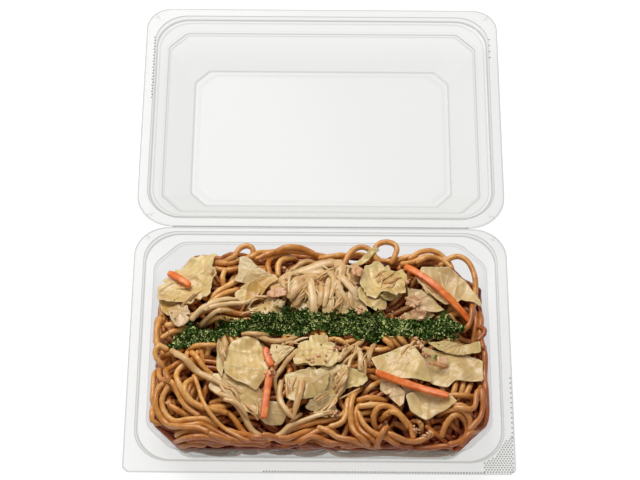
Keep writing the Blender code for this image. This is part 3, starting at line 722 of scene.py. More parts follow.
strip_planes = np.array([(1, 0), (-1, 0), (0, 1), (0, -1)])
strip_offsets = [wall_length - 2, -2.0, 18.0, -3.0]
wall_pile = Pile((0, 0), (wall_length, 24), lambda x, y: np.full(x.shape, 0.4), cell=0.6)
wall_routes = wander(strip_planes, strip_offsets, (5, 4), (wall_length - 5, 19), 260, 60, STEP, 0.05, reach=6.0)
for route in wall_routes:
    route = push_inside(route, strip_planes, strip_offsets)
    if np.mean(wall_pile.at(route)) < 3.2:
        lay_noodle(wall_pile, route, NOODLE * chance.uniform(0.9, 1.05), chance.uniform(), sides=6,
                   to_place=off_the_wall, sink=-1.0)

# The heap: hollows stay open between the bundles, and the strands that are laid last lie over them.
# Each hollow: x, y, reach and depth.
HOLLOWS = [(-70, -20, 5, 7), (-57, -29, 5, 6), (-76, -30, 3, 4), (-66, -43, 4, 5), (-63, -53, 4, 6),
           (-45, -50, 5, 6), (-25, -48, 7, 7), (-36, -45, 4, 4), (12, -51, 4, 6), (29, -26, 7, 7),
           (38, -48, 6, 7), (24, -44, 4, 5), (52, -52, 4, 4), (62, -45, 4, 5), (69, -51, 4, 7),
           (77, -25, 4, 4), (74, -34, 4, 4), (68, -23, 2, 4), (-48, 42, 5, 6), (-62, 22, 3, 4),
           (40, -15, 4, 3), (33, 0, 6, 4), (-48, -10, 4, 3), (75, 49, 4, 6), (-28, 49, 3, 4), (2, -52, 5, 4)]


def noodle_target(flat):
    """Where the loose bundles should reach: a strand under the heap's top, lower in the hollows."""
    x, y = flat[..., 0], flat[..., 1]
    top = heap_top(x, y) - 4.2 - 2.6 * np.exp(-((x - 1) / 17) ** 4 - ((y - 34) / 10) ** 4)
    top = top - 2.2 * np.clip((y - 46) / 8, 0, 1)
    for hx, hy, reach, depth in HOLLOWS:
        top = top - 0.7 * depth * np.exp(-((x - hx) ** 2 + (y - hy) ** 2) / reach ** 2)
    return top


def heap_ground(x, y):
    """What the heap lies on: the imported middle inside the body, the ledge and the flange outside it."""
    inside = np.ones(x.shape, dtype=bool)
    for normal, offset in zip(*octagon(0.0)):
        inside &= x * normal[0] + y * normal[1] < offset
    packed = noodle_target(np.stack((x, y), -1)) - CORE_DEPTH + 4.6
    ledge_z = np.where((np.abs(x) < RIM[0]) & (y > RIM[1]) & (y < RIM[2]), SHOULDER_Z, FLANGE_Z)
    return np.where(inside, packed, ledge_z)


heap = Pile((-98, -68), (98, 74), heap_ground)
heap_planes, heap_offsets = octagon(2.0, FOOD_CORNERS)
heap_offsets[3] = FOOD_BACK
heap_routes = [push_inside(route[:chance.integers(26, 70)], heap_planes, heap_offsets)
               for route in wander(heap_planes, heap_offsets, (-84, -55), (84, 60), 900, 70, STEP, 0.06)]
lay_bundles(heap, heap_routes, noodle_target, 330)
short_routes = [push_inside(route, heap_planes, heap_offsets)
                for route in wander(heap_planes, heap_offsets, (-84, -55), (84, 58), 700, 15, STEP, 0.06)]
lay_bundles(heap, short_routes, noodle_target, 200, choices=40)

# The strands on top, each as the places it passes; the first are the lowest. Thin ones are marked.
TOP_STRANDS = [
    (1.0, [(-74, -52), (-66, -56), (-54, -57), (-42, -58), (-28, -57.5)]),
    (1.0, [(-73, -50.6), (-64, -50.6), (-59, -52), (-55, -55), (-46, -58)]),
    (1.0, [(-80, -6), (-82.5, -11), (-83.5, -16), (-82, -21), (-77, -24), (-72, -30)]),
    (1.0, [(-77, -36), (-70, -40), (-64, -41), (-55, -40), (-48, -40), (-44, -43), (-39, -49), (-33, -54.5),
           (-26, -58)]),
    (1.05, [(-78, -24), (-82, -25), (-84.3, -30), (-84, -37), (-80, -43), (-74, -47.5), (-66, -48.5),
            (-59, -47.5), (-53, -50), (-46, -54), (-38, -57), (-28, -58)]),
    (1.0, [(-78, -27), (-81, -32), (-80, -38), (-75, -43.5), (-68, -45.5), (-60, -44.6), (-53, -47)]),
    (1.0, [(-80, -23), (-75, -27), (-71, -34), (-68, -38), (-62, -43)]),
    (1.0, [(-78, -25), (-79.5, -19), (-76, -14.5), (-71, -12), (-64, -11)]),
    (1.0, [(-69, -13), (-73.5, -18.5), (-73.5, -24), (-70.5, -30), (-66, -36), (-58, -39), (-49, -37.5)]),
    (1.0, [(-60, -18), (-64.5, -22), (-67.6, -25), (-69.3, -29.5), (-68, -34), (-64, -38), (-56, -40.5),
           (-48, -41)]),
    (0.72, [(-65, -21), (-62.5, -27), (-60.5, -34), (-58.3, -40), (-54.5, -45), (-48, -50.6), (-42, -54.4),
            (-36, -58)]),
    (1.0, [(-57, -54), (-62, -51.5), (-70, -50), (-76, -47)]),
    (1.0, [(-66.4, -6), (-63, -11), (-59.5, -15.6), (-54.5, -19.4)]),
    (0.9, [(-70, -2), (-64, -2.5), (-57, -3), (-50, -0.6)]),
    (1.0, [(-85, -7.5), (-82.6, -5.6), (-77.6, -5.6), (-72, -2)]),
    (1.0, [(-84, 15), (-85.5, 8), (-85, 0), (-82, -6)]),
    (1.0, [(-82.6, 4), (-77.6, 7.5), (-72, 9)]),
    (1.0, [(-80, -14), (-85.5, -8), (-84, -3), (-80, -4)]),
    (1.0, [(-50, -46), (-41, -51), (-33, -56), (-27, -58)]),
    (1.0, [(-28, -57), (-16, -57), (-8, -54), (0, -50), (10, -48)]),
    (1.0, [(-20, -58), (-14, -55), (-8, -50.5), (-2, -47.5)]),
    (1.0, [(-10, -57), (-3, -54), (6, -56), (16, -57.5)]),
    (1.0, [(0, -49), (5, -51.5), (11, -55), (22, -57)]),
    (1.0, [(-20, -49), (-13, -47.5), (-5, -46), (3, -44), (11, -41), (14, -36)]),
    (1.0, [(6, -48), (11.5, -45.5), (14, -40), (14.5, -34), (17, -27)]),
    (1.0, [(24, -33), (19, -38), (18.8, -44), (21, -49), (25, -53), (31, -56)]),
    (1.0, [(20, -41), (23, -47.5), (28, -52), (34, -54), (40, -57.5)]),
    (1.05, [(22, -24), (18, -30), (16.3, -36), (16, -42.5), (17, -49), (20, -54), (25, -58)]),
    (1.0, [(20, -33), (27, -32), (34, -31.5)]),
    (1.0, [(21, -37), (28, -36), (34, -36), (41, -39)]),
    (1.0, [(46, -55), (53, -56), (60, -56), (67, -58)]),
    (1.0, [(33, -51), (38, -53.5), (45, -54.5), (52, -53), (58, -50)]),
    (1.0, [(35.5, -47), (34, -50), (31.5, -54), (29, -58)]),
    (1.0, [(29, -46), (27.6, -42.5), (29.5, -38.5), (34, -37), (39.5, -39.5), (44, -43.5), (47, -47.5),
           (48, -52)]),
    (1.0, [(31.5, -41.5), (36, -40.6), (41, -42.5), (45, -47)]),
    (1.0, [(63, -50), (64, -47), (67, -43), (71, -41), (74.5, -42.5), (76, -47.5), (73, -53), (67, -56.5)]),
    (1.0, [(60, -37.5), (67, -38.5), (73, -39), (76.5, -42), (77.4, -47), (74, -53)]),
    (1.0, [(70, -17), (70, -24), (68, -31)]),
    (1.0, [(74.5, -17), (74, -24), (71.5, -30)]),
    (1.0, [(79, -17), (77.5, -24), (75, -29)]),
    (1.0, [(68, -30), (74, -30.4), (80, -29.6)]),
    (1.0, [(68, -34), (74, -35), (79, -38)]),
    (1.0, [(83, -17), (83.5, -24), (80.8, -29.5), (80, -36), (77, -39.5), (70, -38.5)]),
    (1.0, [(85.5, -1), (86, -9), (85.6, -20), (86.2, -32), (85.2, -43), (80.6, -49), (73, -55.5)]),
    (1.0, [(83.5, -28), (84, -36), (82, -43), (77, -49)]),
    (1.0, [(80, 28), (81.5, 20), (82, 13), (80.5, 5)]),
    (1.0, [(84, 26), (84.8, 17), (84, 7), (85, -2)]),
    (1.0, [(70, 7.5), (75, 9), (79, 14), (80, 21), (81, 28)]),
    (0.9, [(83, 11), (85.6, 9.4), (86, 5.6), (83, 2.5)]),
    (1.0, [(-57, 47.5), (-50, 45.6), (-43, 47)]),
    (1.0, [(-51, 45), (-52, 39), (-50.5, 34)]),
    (1.0, [(-58, 26), (-53, 31), (-45, 37), (-38, 40)]),
    (1.0, [(-58, 22.5), (-51.4, 27.5), (-44, 32)]),
    (1.0, [(-56, 50), (-48, 50.6), (-42, 53), (-35, 53)]),
    (1.0, [(-27, 42), (-28, 48), (-26, 53.5), (-20, 55.6), (-12, 56)]),
    (1.0, [(-22.5, 42), (-22.6, 48), (-20.5, 52), (-15, 54.5)]),
    (1.0, [(-37, 53), (-31, 57), (-20, 59), (-10, 60), (0, 59), (14, 58)]),
    (1.0, [(-34, 52), (-26, 55.4), (-17, 56.6), (0, 56), (12, 54)]),
    (1.0, [(-24, 55.2), (-18, 57.0), (-11, 57.4), (-4, 56)]),
    (1.0, [(0, 54), (8, 54.4), (15, 57.4), (22, 60.4), (29, 60)]),
    (1.0, [(12, 50), (16, 56), (21, 59), (29, 59)]),
    (0.85, [(15, 48), (20.6, 52.5), (26, 57), (33, 59)]),
    (1.0, [(25, 54), (32, 55.6), (40, 55), (48, 56), (54, 54)]),
    (1.0, [(44, 51), (50, 51), (56, 54), (62, 58)]),
    (1.0, [(48, 53), (54, 57.5), (60, 59), (65, 57.6), (69, 52), (71, 46)]),
    (0.9, [(52, 50), (58, 53), (64, 53), (70, 48)]),
]
for share, route in TOP_STRANDS:
    lay_noodle(heap, smooth_route(route, STEP), NOODLE * share, chance.uniform(0.35, 0.95), sides=10, sink=1.6,
               settle=40)

# Loops that stand up over the ledge at the back: the middle of each strand rises off its neighbours.
# Each: the places it passes as x, y and height.
STANDING_LOOPS = [
    [(-57, 49, 21.5), (-51, 51.2, 25.5), (-46, 53.6, 27.5), (-43.8, 57.4, 28), (-40.3, 59.6, 28.3),
     (-36.8, 58.6, 28.3), (-36, 55.4, 27.6), (-38.5, 53.2, 26.6), (-44, 52.6, 25)],
    [(26, 54, 23), (28.6, 59, 24.4), (30.8, 63.2, 24.7), (35, 64.8, 24.8), (39.3, 63.6, 24.8), (41, 60.2, 25.2),
     (40, 56.2, 25.4), (38, 52.4, 24)],
    [(11.5, 46, 26), (13, 50, 27.3), (15, 54.6, 27.6), (18, 58.2, 27.6), (22, 59.8, 27.6), (26, 58.4, 27.6),
     (29, 54.6, 27), (31, 50.5, 25.5)],
    [(64, 50, 25), (69, 53.5, 26.6), (74, 54.6, 27), (78.3, 52, 27), (81, 47, 26.6), (82.4, 41, 26),
     (82.4, 34, 24.5), (81.5, 27, 23)],
]
for places in STANDING_LOOPS:
    path = smooth_route(places, 1.6)
    points, quads, fans, run = tube(path, NOODLE * 1.02, 12)
    # little painted shade: the loops stand up in the light
    noodle_batch.add(points, quads, fans, tone=0.6, run=run, sauce=0.1)
    heap.cover(path[:, :2], path[:, 2], NOODLE)


def noodle_material(name, oil, shade_and_sauce_colour):
    """Wheat noodle stained by sauce: tan to deep brown from strand to strand, blotched along its length.

    The sauce gathers in small dark specks, and the oil on it makes a soft wet gloss. Where the painted
    sauce number is high, the colour is multiplied by a darker one: painted shade near the walls and deep in
    the heap, partly real sauce.
    """
    made, tree, shader = blank_material(name)
    place = node(tree, "ShaderNodeTexCoord").outputs["Object"]
    tone = node(tree, "ShaderNodeAttribute", attribute_name="tone").outputs["Fac"]
    # sauce: painted shade near the walls and deep in the heap, partly real sauce
    sauce = node(tree, "ShaderNodeAttribute", attribute_name="sauce").outputs["Fac"]
    blotch = node(tree, "ShaderNodeTexNoise", {"Vector": place, "Scale": 240.0, "Detail": 4.0,
                                               "Roughness": 0.65}).outputs["Fac"]
    fine = node(tree, "ShaderNodeTexNoise", {"Vector": place, "Scale": 900.0, "Detail": 2.0}).outputs["Fac"]
    mix = math_node(tree, "MULTIPLY_ADD", blotch, 1.1, -0.42)
    mix = math_node(tree, "MULTIPLY_ADD", tone, 0.65, mix)
    colour = colour_steps(tree, mix, [(0.0, (0.30, 0.066, 0.003)), (0.35, (0.58, 0.210, 0.025)),
                                      (0.65, (0.78, 0.385, 0.095)), (1.0, (0.90, 0.58, 0.23))])
    speck = colour_steps(tree, fine, [(0.28, (0.45, 0.32, 0.22)), (0.42, (1.0, 1.0, 1.0))])
    # painted shade, partly sauce: the colour is multiplied towards the darker second colour where sauce is painted
    shaded_and_soaked = node(tree, "ShaderNodeMix", {6: colour, 7: shade_and_sauce_colour, 0: sauce}, data_type="RGBA",
                  blend_type="MULTIPLY").outputs[2]
    stained = node(tree, "ShaderNodeMix", {6: shaded_and_soaked, 7: speck, 0: 0.6}, data_type="RGBA",
                   blend_type="MULTIPLY").outputs[2]
    bump = node(tree, "ShaderNodeBump", {"Height": fine, "Strength": 0.25, "Distance": 0.0003})
    tree.links.new(stained, shader.inputs["Base Color"])
    tree.links.new(bump.outputs["Normal"], shader.inputs["Normal"])
    rough = math_node(tree, "MULTIPLY_ADD", blotch, 0.3, 0.22)
    tree.links.new(rough, shader.inputs["Roughness"])
    shader.inputs["Subsurface Weight"].default_value = 0.12
    shader.inputs["Subsurface Radius"].default_value = (1.0, 0.4, 0.15)
    shader.inputs["Subsurface Scale"].default_value = 0.0015
    shader.inputs["Coat Weight"].default_value = oil
    shader.inputs["Coat Roughness"].default_value = 0.3
    return made


# The second colour is the painted shade, partly sauce, multiplied in; the copy for the packed middle is darker and
# duller still, also painted shade.
fried_noodle = noodle_material("fried_noodle", 0.28, (0.47, 0.17, 0.04, 1.0))
shaded_packed_noodle = noodle_material("shaded_packed_noodle", 0.0, (0.20, 0.07, 0.01, 1.0))
shaded_packed_noodle.node_tree.nodes["Principled BSDF"].inputs["Specular IOR Level"].default_value = 0.1
noodle_pieces = noodle_batch.finish("noodle_strands", fried_noodle, "tray")

# The imported middle under the loose strands, out of sight but for the bottom of the hollows. It is
# painted shade: a darker, duller copy of the noodle material, painted fully dark.
core_x, core_y = np.meshgrid(np.linspace(-1, 1, 70), np.linspace(-1, 1, 50))
core_flat = np.column_stack((core_x.ravel() * (BODY[0] - 6), 3.15 + core_y.ravel() * 55.2))
core_flat = push_inside(core_flat, *octagon(7.0, FOOD_CORNERS))
relief = 0.5 * np.sin(core_flat[:, 0] * 0.8 + 2.2 * np.sin(core_flat[:, 1] * 0.2)) * np.sin(core_flat[:, 1] * 0.5)
core_top = np.column_stack((core_flat, noodle_target(core_flat) - CORE_DEPTH + 4.2 + relief))
core_index = np.arange(70 * 50).reshape(50, 70)
core_rim = np.concatenate((core_index[0, :-1], core_index[:-1, -1], core_index[-1, :0:-1], core_index[:0:-1, 0]))
core_low = np.column_stack((push_inside(core_top[core_rim, :2], *octagon(11.0, FOOD_CORNERS)),
                            np.full(len(core_rim), 4.0)))
core_points = np.concatenate((core_top, core_low, [[0, HEAP_CENTRE, 4.0]]))
low_ring = len(core_top) + np.arange(len(core_rim))
core_quads = np.concatenate((
    np.stack((core_index[:-1, :-1], core_index[:-1, 1:], core_index[1:, 1:], core_index[1:, :-1]), -1).reshape(-1, 4),
    np.column_stack((np.roll(core_rim, -1), core_rim, low_ring, np.roll(low_ring, -1)))))
core_fan = np.column_stack((np.roll(low_ring, -1), low_ring, np.full(len(low_ring), len(core_points) - 1)))
core = fill_mesh("noodle_core", core_points, core_quads, core_fan)
# painted shade: tone 0 and full sauce, the darkest the noodle gets
paint(core, tone=np.full(len(core_points), 0.0), sauce=np.full(len(core_points), 1.0))
core.data.materials.append(shaded_packed_noodle)
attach(core, "tray")
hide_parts("noodles")

# ---- Cabbage -----------------------------------------------------------------------------------------
# Torn and cut pieces of cabbage, fried limp and half clear. Each lies over the noodles like wet paper:
# fine veins fan out from where the leaf stood on its stalk, and the rims curl a little.
LEAF = 0.8                              # thickness
LEAF_CEILING = 37.2                     # leaves are pressed flatter above this height
RIB_GAP = 5.5                           # between neighbouring ribs
FOLD = 0.55                             # how far a folded part stands over the rest

# Each piece: name; corners of its outline; where its veins meet; curl of the rim; ragged edge; how green,
# and how grey it is.
LEAVES = [
    ("02", [(-79.5, 21), (-75, 23.5), (-70, 22), (-68.3, 16), (-70, 11), (-74, 8.5), (-77, 11), (-79, 16)],
     (-74, 40), 1.0, 0.2, 0.0, 0.9),
    ("03", [(-43, 51), (-39, 51), (-33, 45), (-25, 39), (-30, 36), (-39, 34), (-46, 36), (-43.5, 41)],
     (-55, 60), 0.8, 0.3, 0.1, 1.0),
    ("07", [(46, 31), (54, 30), (60, 25), (66, 19.5), (60, 18), (54, 19), (47, 22)], (40, 10), 0.9, 0.25, 0.0,
     0.5),
    ("10", [(-18, -20), (-3, -17), (5, -20), (4, -27), (1, -33), (-5, -35), (-11, -36), (-16, -35)],
     (-10, 20), 0.6, 0.3, 0.35, 0.3),
    ("13", [(53, -3.5), (66, -4), (77, -4.5), (84.5, -10), (84.5, -22), (70, -21.5), (66, -26.5), (58, -23.5),
            (54, -18)], (100, 10), 0.5, 0.1, 0.1, 0.55),
    ("15", [(31.5, -22), (35, -22.5), (40, -25), (44, -29), (43, -35), (41, -37), (36.5, -32), (31.5, -28)],
     (30, -60), 0.8, 0.2, 0.0, 0.5),
    ("01", [(-86, 28), (-86, 35), (-83.5, 40), (-81.5, 45), (-76.5, 50.5), (-72, 53), (-66, 53.5), (-60, 55.4),
            (-56.5, 56.3), (-54.5, 54.2), (-57, 50), (-57, 45.5), (-55, 43.3), (-55.5, 40.6), (-57.5, 38),
            (-58, 33), (-58, 28), (-60, 26), (-65, 25), (-68, 22.5), (-71, 24), (-76, 24), (-81, 25.5)],
     (-100, 20), 1.3, 0.9, 0.15, 0.1),
    ("04", [(-45, 28), (-41.5, 32), (-35, 35), (-28, 38.5), (-24, 38.5), (-22, 35), (-27, 32), (-30, 28),
            (-33, 24.5), (-39, 22), (-44, 24)], (-5, 45), 1.3, 0.2, 0.0, 0.0),
    ("05", [(22, 42), (25, 47), (30, 49.5), (35, 48.5), (39, 45.5), (44, 46), (46, 40), (46.5, 34), (44, 30),
            (45, 27), (38, 26), (33, 28), (30, 24), (25, 25), (22, 31), (21, 37)], (20, 60), 1.8, 0.9, 0.35, 0.0),
    ("06", [(49, 44), (54, 46), (61, 47), (68, 46.5), (73, 43), (78, 38), (82, 32), (85.5, 26), (84.5, 23.5),
            (80, 25.5), (74, 28), (71, 24), (66, 22), (58, 28), (52, 36)], (62, 15), 1.2, 0.4, 0.1, 0.45),
    ("08", [(-45.5, -1), (-40, 0.8), (-32.5, 0.6), (-30, -6), (-27, -14), (-26.5, -18.5), (-29.5, -25),
            (-32.5, -30.5), (-37, -27.5), (-43, -25), (-48.5, -21.5), (-49.5, -13), (-48.2, -6)], (-40, 30), 1.1,
     0.25, 0.0, 0.0),
    ("09", [(-9, 0), (-4, 3), (1, 2), (5, -1), (8.5, -5), (10.5, -11), (8, -16), (-2, -17), (-14, -14.5),
            (-13, -8)], (0, 25), 1.2, 0.7, 0.2, 0.1),
    ("11", [(-7, -39), (-2, -35), (3, -31), (8, -32), (8, -40), (7, -44), (-1, -43)], (30, -20), 1.0, 0.6, 0.2,
     0.6),
    ("12", [(26.5, -10), (37, -6), (46.5, -2.5), (50, -6), (54, -12), (58, -23.5), (43, -22), (31, -19)],
     (70, 30), 0.7, 0.05, 0.15, 0.1),
    ("14", [(44.5, -31), (49, -28.5), (57, -28), (66, -30), (70.5, -36), (65, -39), (60, -40), (55, -44),
            (47, -39.5)], (90, -60), 0.6, 0.05, 0.05, 0.5),
    ("16", [(56, -1), (65, 1.5), (74, 1.5), (83, 0), (83.5, -6), (76, -5), (68, -5), (61, -4)], (90, 10), 0.9,
     0.3, 0.3, 0.4),
]
# Smaller torn scraps between them, in the same order of values.
SCRAPS = [
    ("a", [(-55, -20), (-47, -20), (-40, -25), (-33, -27), (-27, -33), (-28, -38), (-33, -42), (-41, -39),
           (-50, -34), (-57, -28)],
     (-80, -10), 0.7, 0.2, 0.0, 0.2),
    ("b", [(-31, -34), (-22, -35), (-16, -41), (-19, -46), (-27, -46), (-33, -42)], (-60, -30), 0.6, 0.3, 0.2,
     0.7),
    ("c", [(-53, 4), (-50, 6), (-47.5, -2), (-48.5, -12), (-50.5, -23), (-53.5, -16)], (-50, 30), 0.8, 0.3, 0.4,
     0.4),
    ("d", [(0, -16), (9, -14), (17, -17), (25, -21), (22, -27), (14, -27), (7, -34), (2, -29)], (20, 10), 1.3,
     0.8, 0.5, 0.1),
    ("e", [(-25, -2), (-13, -5), (-18, -10), (-22, -15), (-26, -9)], (-30, 20), 0.6, 0.2, 0.1, 0.4),
    ("f", [(-85, 30), (-76, 27), (-70, 20), (-75, 17), (-80.5, 17.5), (-84, 22.5)], (-90, 10), 0.8, 0.3, 0.0, 0.0),
    ("g", [(-38, 20), (-26, 25), (-18, 20), (-21, 13), (-34, 12)], (-10, 0), 0.8, 0.6, 0.1, 0.3),
    ("h", [(40, -22), (50, -24), (51, -28), (45, -29)], (60, 0), 0.5, 0.3, 0.1, 0.5),
    ("i", [(8, 29), (12, 28.5), (17, 25), (24, 24), (25, 17), (13, 15), (8, 18)], (12, 50), 1.0, 0.5, 0.1, 0.3),
    ("j", [(-12, -12), (-4, -9), (6, -10), (7, -13), (-3, -14), (-13, -15)], (-40, -10), 0.5, 0.2, 0.1, 0.3),
    ("k", [(44, 19), (56, 22), (60, 17), (52, 12), (42, 14)], (30, 40), 0.8, 0.8, 0.0, 0.3),
    ("l", [(-27, 34), (-22, 36), (-17, 33.5), (-17, 27), (-25, 27)], (-60, 31), 0.8, 0.3, 0.0, 0.0),
    ("m", [(-21, 33), (-14, 39.5), (-4, 44.5), (6, 47), (13, 47), (12, 41), (4, 38), (-4, 32), (-13, 28),
           (-18, 29)], (-50, 10), 0.9, 0.7, 0.0, 0.35),
    ("n", [(-16, 32), (-5, 35), (3, 32), (0, 26), (-4, 20), (-10, 18), (-15, 20)], (-4, 60), 0.9, 0.7, 0.0, 0.3),
    ("o", [(6, 44), (13, 45), (20, 43), (22, 37), (18, 33), (12, 34), (8, 31), (5, 37)], (20, 60), 1.0, 0.6,
     0.25, 0.0),
    ("p", [(0.5, 30), (6, 31), (7, 22), (7, 15), (1.5, 15), (1, 22)], (3, 70), 0.6, 0.4, 0.0, 0.4),
    ("q", [(-7, 31.5), (-1.5, 32), (-0.5, 23), (-1, 13), (-5.5, 12), (-6.5, 21)], (-3, 80), 0.5, 0.4, 0.0, 0.5),
    ("r", [(-24.5, 19), (-22, 22.5), (-18.5, 21.5), (-19.5, 18)], (-60, 20), 0.6, 0.2, 0.3, 0.9),
    ("s", [(50, 30), (57, 31), (60, 25), (52, 24)], (40, 28), 0.8, 0.5, 0.1, 0.6),
    ("t", [(17, 47.5), (20, 51), (25, 55.5), (30, 59.5), (31.6, 58), (27, 53), (21.5, 48)], (0, 30), 0.5, 0.15,
     0.7, 0.1),
    ("u", [(19.5, 30), (22, 33), (29, 32), (34, 27), (35, 20), (30, 17), (25, 19.5), (21, 24)], (20, 60), 0.8, 0.4,
     0.15, 0.15),
    ("v", [(31.5, 25), (34, 28.5), (39, 32), (45, 35), (45.8, 32.5), (41, 27.5), (36, 24)], (20, 15), 1.6, 0.25,
     0.8, 0.0),
    ("w", [(29.5, 42.5), (33, 43.5), (38, 40), (43, 35.5), (39.5, 34.5), (33, 38)], (50, 20), 1.5, 0.2, 0.7, 0.0),
    ("x", [(52, 43), (56, 45), (60.5, 44.5), (59.5, 38), (56, 33), (52, 37)], (56, 0), 1.0, 0.35, 0.0, 0.2),
]


# Where leaves are deep yellow, pinkish, nearly white or stained brown: x, y, reach and how strongly.
TINTS = {
    "gold": [(-28.5, 33, 8, 1.0), (-36, 28, 6, 0.5), (-80, 23, 6, 0.9), (-34, -5, 9, 0.3), (-7, -12.5, 5, 0.4),
             (43, 31, 4, 0.4), (35, 28, 4, 0.3), (-15, 35, 3, 0.5), (-45, -27, 6, 0.2), (26, -22, 5, 0.3)],
    "pink": [(-74, 14, 6, 0.7), (37, -28, 9, 0.6), (19, 40, 5, 0.8), (14, 30, 4, 0.6), (51, 24, 6, 0.8),
             (-22, 26, 5, 0.8), (56, -13, 4, 0.5), (12, -40, 5, 0.4), (72, 38, 8, 0.3)],
    "pale": [(-37, 44, 6, 0.45), (-42, 28, 4, 0.9), (-40, -10, 9, 0.75), (25, 39, 6, 0.7), (42, -10, 8, 0.05),
             (57, 42, 5, 0.8), (-22, -28, 4, 0.8), (44, -34, 3, 0.7), (11, 43, 5, 0.7), (-75, 37, 8, 0.2),
             (-66, 47, 8, 0.1), (-5, -5, 6, 0.4)],
    "brown": [(-57, 42.5, 1.5, 1.0), (-35, -19.5, 2.0, 0.5), (79, -13, 0.8, 0.7), (72, -12.5, 0.7, 0.6),
              (63, 40, 7, 0.35), (48, 22, 3, 0.5), (-84, 30, 3, 0.5), (-3, -24, 5, 0.3), (38, -1, 4, 0.3)],
}


def torn_outline(corners, ragged, count):
    """Even points round the corners, rounded by averaging neighbours, then pulled in and out by noise.

    A ragged rim also has a few narrow tears, each a bell-shaped notch.
    """
    corners = np.array(corners, dtype=float)
    area = np.sum(corners[:, 0] * np.roll(corners[:, 1], -1) - corners[:, 1] * np.roll(corners[:, 0], -1))
    corners = corners if area > 0 else corners[::-1]
    line = even_points(np.vstack((corners, corners[:1])), 0.05)
    share = np.linspace(0, len(line) - 1, count, endpoint=False).astype(int)
    rim = line[share]
    for _ in range(count // 28):
        rim = (np.roll(rim, 1, axis=0) + 2 * rim + np.roll(rim, -1, axis=0)) / 4
    middle = rim.mean(axis=0)
    angle = np.linspace(0, 2 * math.pi, count, endpoint=False)
    noise = sum(chance.normal(0, 1.0 / k) * np.sin((5 + 4 * k) * angle + chance.uniform(0, 6.3))
                for k in range(1, 8))
    pull = ragged * 0.5 * np.sign(noise) * np.abs(noise) ** 0.7
    for _ in range(int(ragged * 6)):
        gap = np.abs((angle - chance.uniform(0, 6.3) + math.pi) % (2 * math.pi) - math.pi)
        pull = pull - chance.uniform(0.8, 2.4) * np.exp(-(gap / 0.075) ** 2)
    away = (rim - middle) / np.linalg.norm(rim - middle, axis=1)[:, None]
    return rim + away * pull[:, None]


def limp_cover(pile, low, high, clearance, rounds):
    """Height of a limp sheet over a window of the pile, read at any places.

    It starts at the pile plus a clearance. A cell below the mean of itself and its four neighbours rises
    to it, many times over; then the whole is averaged a few times, as a sheet that can't crease sharply.
    """
    (row0, row1), (column0, column1) = (pile.cells(np.array([low, high]) + [[-4, -4], [4, 4]]))
    need = pile.height[row0:row1 + 1, column0:column1 + 1] + clearance

    def average(field):
        wide = np.pad(field, 1, mode="edge")
        return (wide[1:-1, 1:-1] + wide[:-2, 1:-1] + wide[2:, 1:-1] + wide[1:-1, :-2] + wide[1:-1, 2:]) / 5

    sheet = need.copy()
    for _ in range(rounds):
        sheet = np.maximum(need, average(sheet))
    for _ in range(5):
        sheet = average(sheet)

    def read(flat):
        column = np.clip((flat[:, 0] - pile.x[column0]) / pile.cell, 0, sheet.shape[1] - 1.001)
        row = np.clip((flat[:, 1] - pile.y[row0]) / pile.cell, 0, sheet.shape[0] - 1.001)
        i, j = row.astype(int), column.astype(int)
        u, v = row - i, column - j
        return ((1 - u) * (1 - v) * sheet[i, j] + (1 - u) * v * sheet[i, j + 1]
                + u * (1 - v) * sheet[i + 1, j] + u * v * sheet[i + 1, j + 1])

    return read


